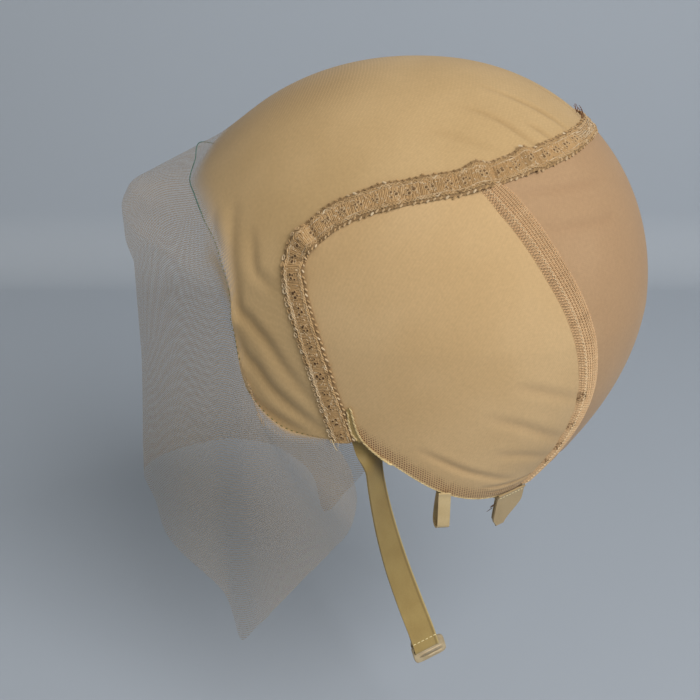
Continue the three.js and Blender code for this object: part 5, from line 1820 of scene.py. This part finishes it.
class WIGCAP_OT_stage(bpy.types.Operator):
    """Pale floor that sweeps up into a backdrop, soft lights and the camera"""

    bl_idname = "wigcap.stage"
    bl_label = "Stage"

    def execute(self, context):
        sizes, colours = settings(context)
        right, up, back = view_axes()
        aim = right * VIEW_SHIFT - np.array([0, 0, VIEW_DROP])
        self.add_camera(context, aim + back * VIEW_DISTANCE, right, up, back)
        self.add_floor(context, sizes, colours, back)
        for light in LIGHTS:
            self.add_light(context, light, aim)
        world = bpy.data.worlds.new("studio")
        world.use_nodes = True
        background = world.node_tree.nodes["Background"]
        background.inputs["Color"].default_value = (*WORLD_COLOUR, 1.0)
        background.inputs["Strength"].default_value = WORLD_STRENGTH
        context.scene.world = world
        context.scene.view_settings.view_transform = "Standard"
        return {"FINISHED"}

    @staticmethod
    def add_camera(context, eye, right, up, back):
        """The camera at its eye, turned by its axes."""
        data = bpy.data.cameras.new("camera")
        data.lens, data.sensor_width, data.sensor_height = LENS, SENSOR, SENSOR
        data.clip_start = CLIP_START
        camera = bpy.data.objects.new("camera", data)
        turned = Matrix((right, up, back)).transposed().to_4x4()
        camera.matrix_world = Matrix.Translation(Vector(eye * MM)) @ turned
        context.scene.collection.objects.link(camera)
        context.scene.camera = camera

    @staticmethod
    def add_floor(context, sizes, colours, back):
        """A strip whose profile is flat, then a quarter turn, then upright, away from the camera."""
        floor = CAD_BOX[0][2] - sizes.floor_gap
        away = -unit(np.array([back[0], back[1], 0.0]))
        aside = np.array([away[1], -away[0], 0.0])
        turn = np.linspace(0, np.pi / 2, FLOOR_BEND_STATIONS)
        bend = sizes.backdrop - FLOOR_BEND + FLOOR_BEND * np.sin(turn)
        reach = np.concatenate([[FLOOR_FRONT, 0.0], bend, [sizes.backdrop]])
        height = np.concatenate([[0.0, 0.0], FLOOR_BEND * (1 - np.cos(turn)), [BACKDROP_HEIGHT]])
        line = away * reach[:, None] + np.array([0, 0, 1.0]) * (floor + height)[:, None]
        half = aside * sizes.floor_width / 2
        points = np.stack([line - half, line + half], 1).reshape(-1, 3)
        mesh = bpy.data.meshes.new("floor")
        mesh.from_pydata(points.tolist(), [], grid_quads(len(line), 2).tolist())
        mesh.polygons.foreach_set("use_smooth", np.ones(len(mesh.polygons), bool))
        mesh.materials.append(stage_material("stage_paint", colours.stage))
        piece = bpy.data.objects.new("floor", mesh)
        context.scene.collection.objects.link(piece)

    @staticmethod
    def add_light(context, light, aim):
        """A square area light that looks at the aim."""
        data = bpy.data.lights.new(light.name, "AREA")
        data.energy, data.size, data.color = light.power, light.size, light.colour
        turn, rise = math.radians(light.turn), math.radians(light.rise)
        back = Vector((math.sin(turn) * math.cos(rise), -math.cos(turn) * math.cos(rise), math.sin(rise)))
        lamp = bpy.data.objects.new(light.name, data)
        lamp.location = Vector(aim * MM) + back * light.distance
        lamp.rotation_euler = back.to_track_quat("Z", "Y").to_euler()
        context.scene.collection.objects.link(lamp)


PIECE_OPERATORS = (
    WIGCAP_OT_stage, WIGCAP_OT_lace_front, WIGCAP_OT_side_panels, WIGCAP_OT_back_panel, WIGCAP_OT_trim_band,
    WIGCAP_OT_seam_tapes, WIGCAP_OT_hem_cord, WIGCAP_OT_loops, WIGCAP_OT_straps, WIGCAP_OT_hooks,
    WIGCAP_OT_marking_thread, WIGCAP_OT_loose_threads,
)


class WIGCAP_PT_panel(bpy.types.Panel):
    """Lists the cap's pieces and settings"""

    bl_idname = "WIGCAP_PT_panel"
    bl_label = "Wig Cap"
    bl_space_type = "VIEW_3D"
    bl_region_type = "UI"
    bl_category = "Wig Cap"

    def draw(self, context):
        layout = self.layout
        for operator in PIECE_OPERATORS:
            layout.operator(operator.bl_idname)
        for group in (context.scene.wig_cap.sizes, context.scene.wig_cap.colours):
            column = layout.column(align=True)
            for name in group.__annotations__:
                column.prop(group, name)


CLASSES = (WigCapSizes, WigCapColours, WigCapSettings, *PIECE_OPERATORS, WIGCAP_PT_panel)


def register():
    """Registers the settings, the operators and the panel."""
    for item in CLASSES:
        bpy.utils.register_class(item)
    bpy.types.Scene.wig_cap = bpy.props.PointerProperty(type=WigCapSettings)


def unregister():
    """Removes what register added."""
    del bpy.types.Scene.wig_cap
    for item in reversed(CLASSES):
        bpy.utils.unregister_class(item)


def main():
    """Builds every piece in order."""
    register()
    for operator in PIECE_OPERATORS:
        group, name = operator.bl_idname.split(".")
        getattr(getattr(bpy.ops, group), name)()


if __name__ == "__main__":
    main()
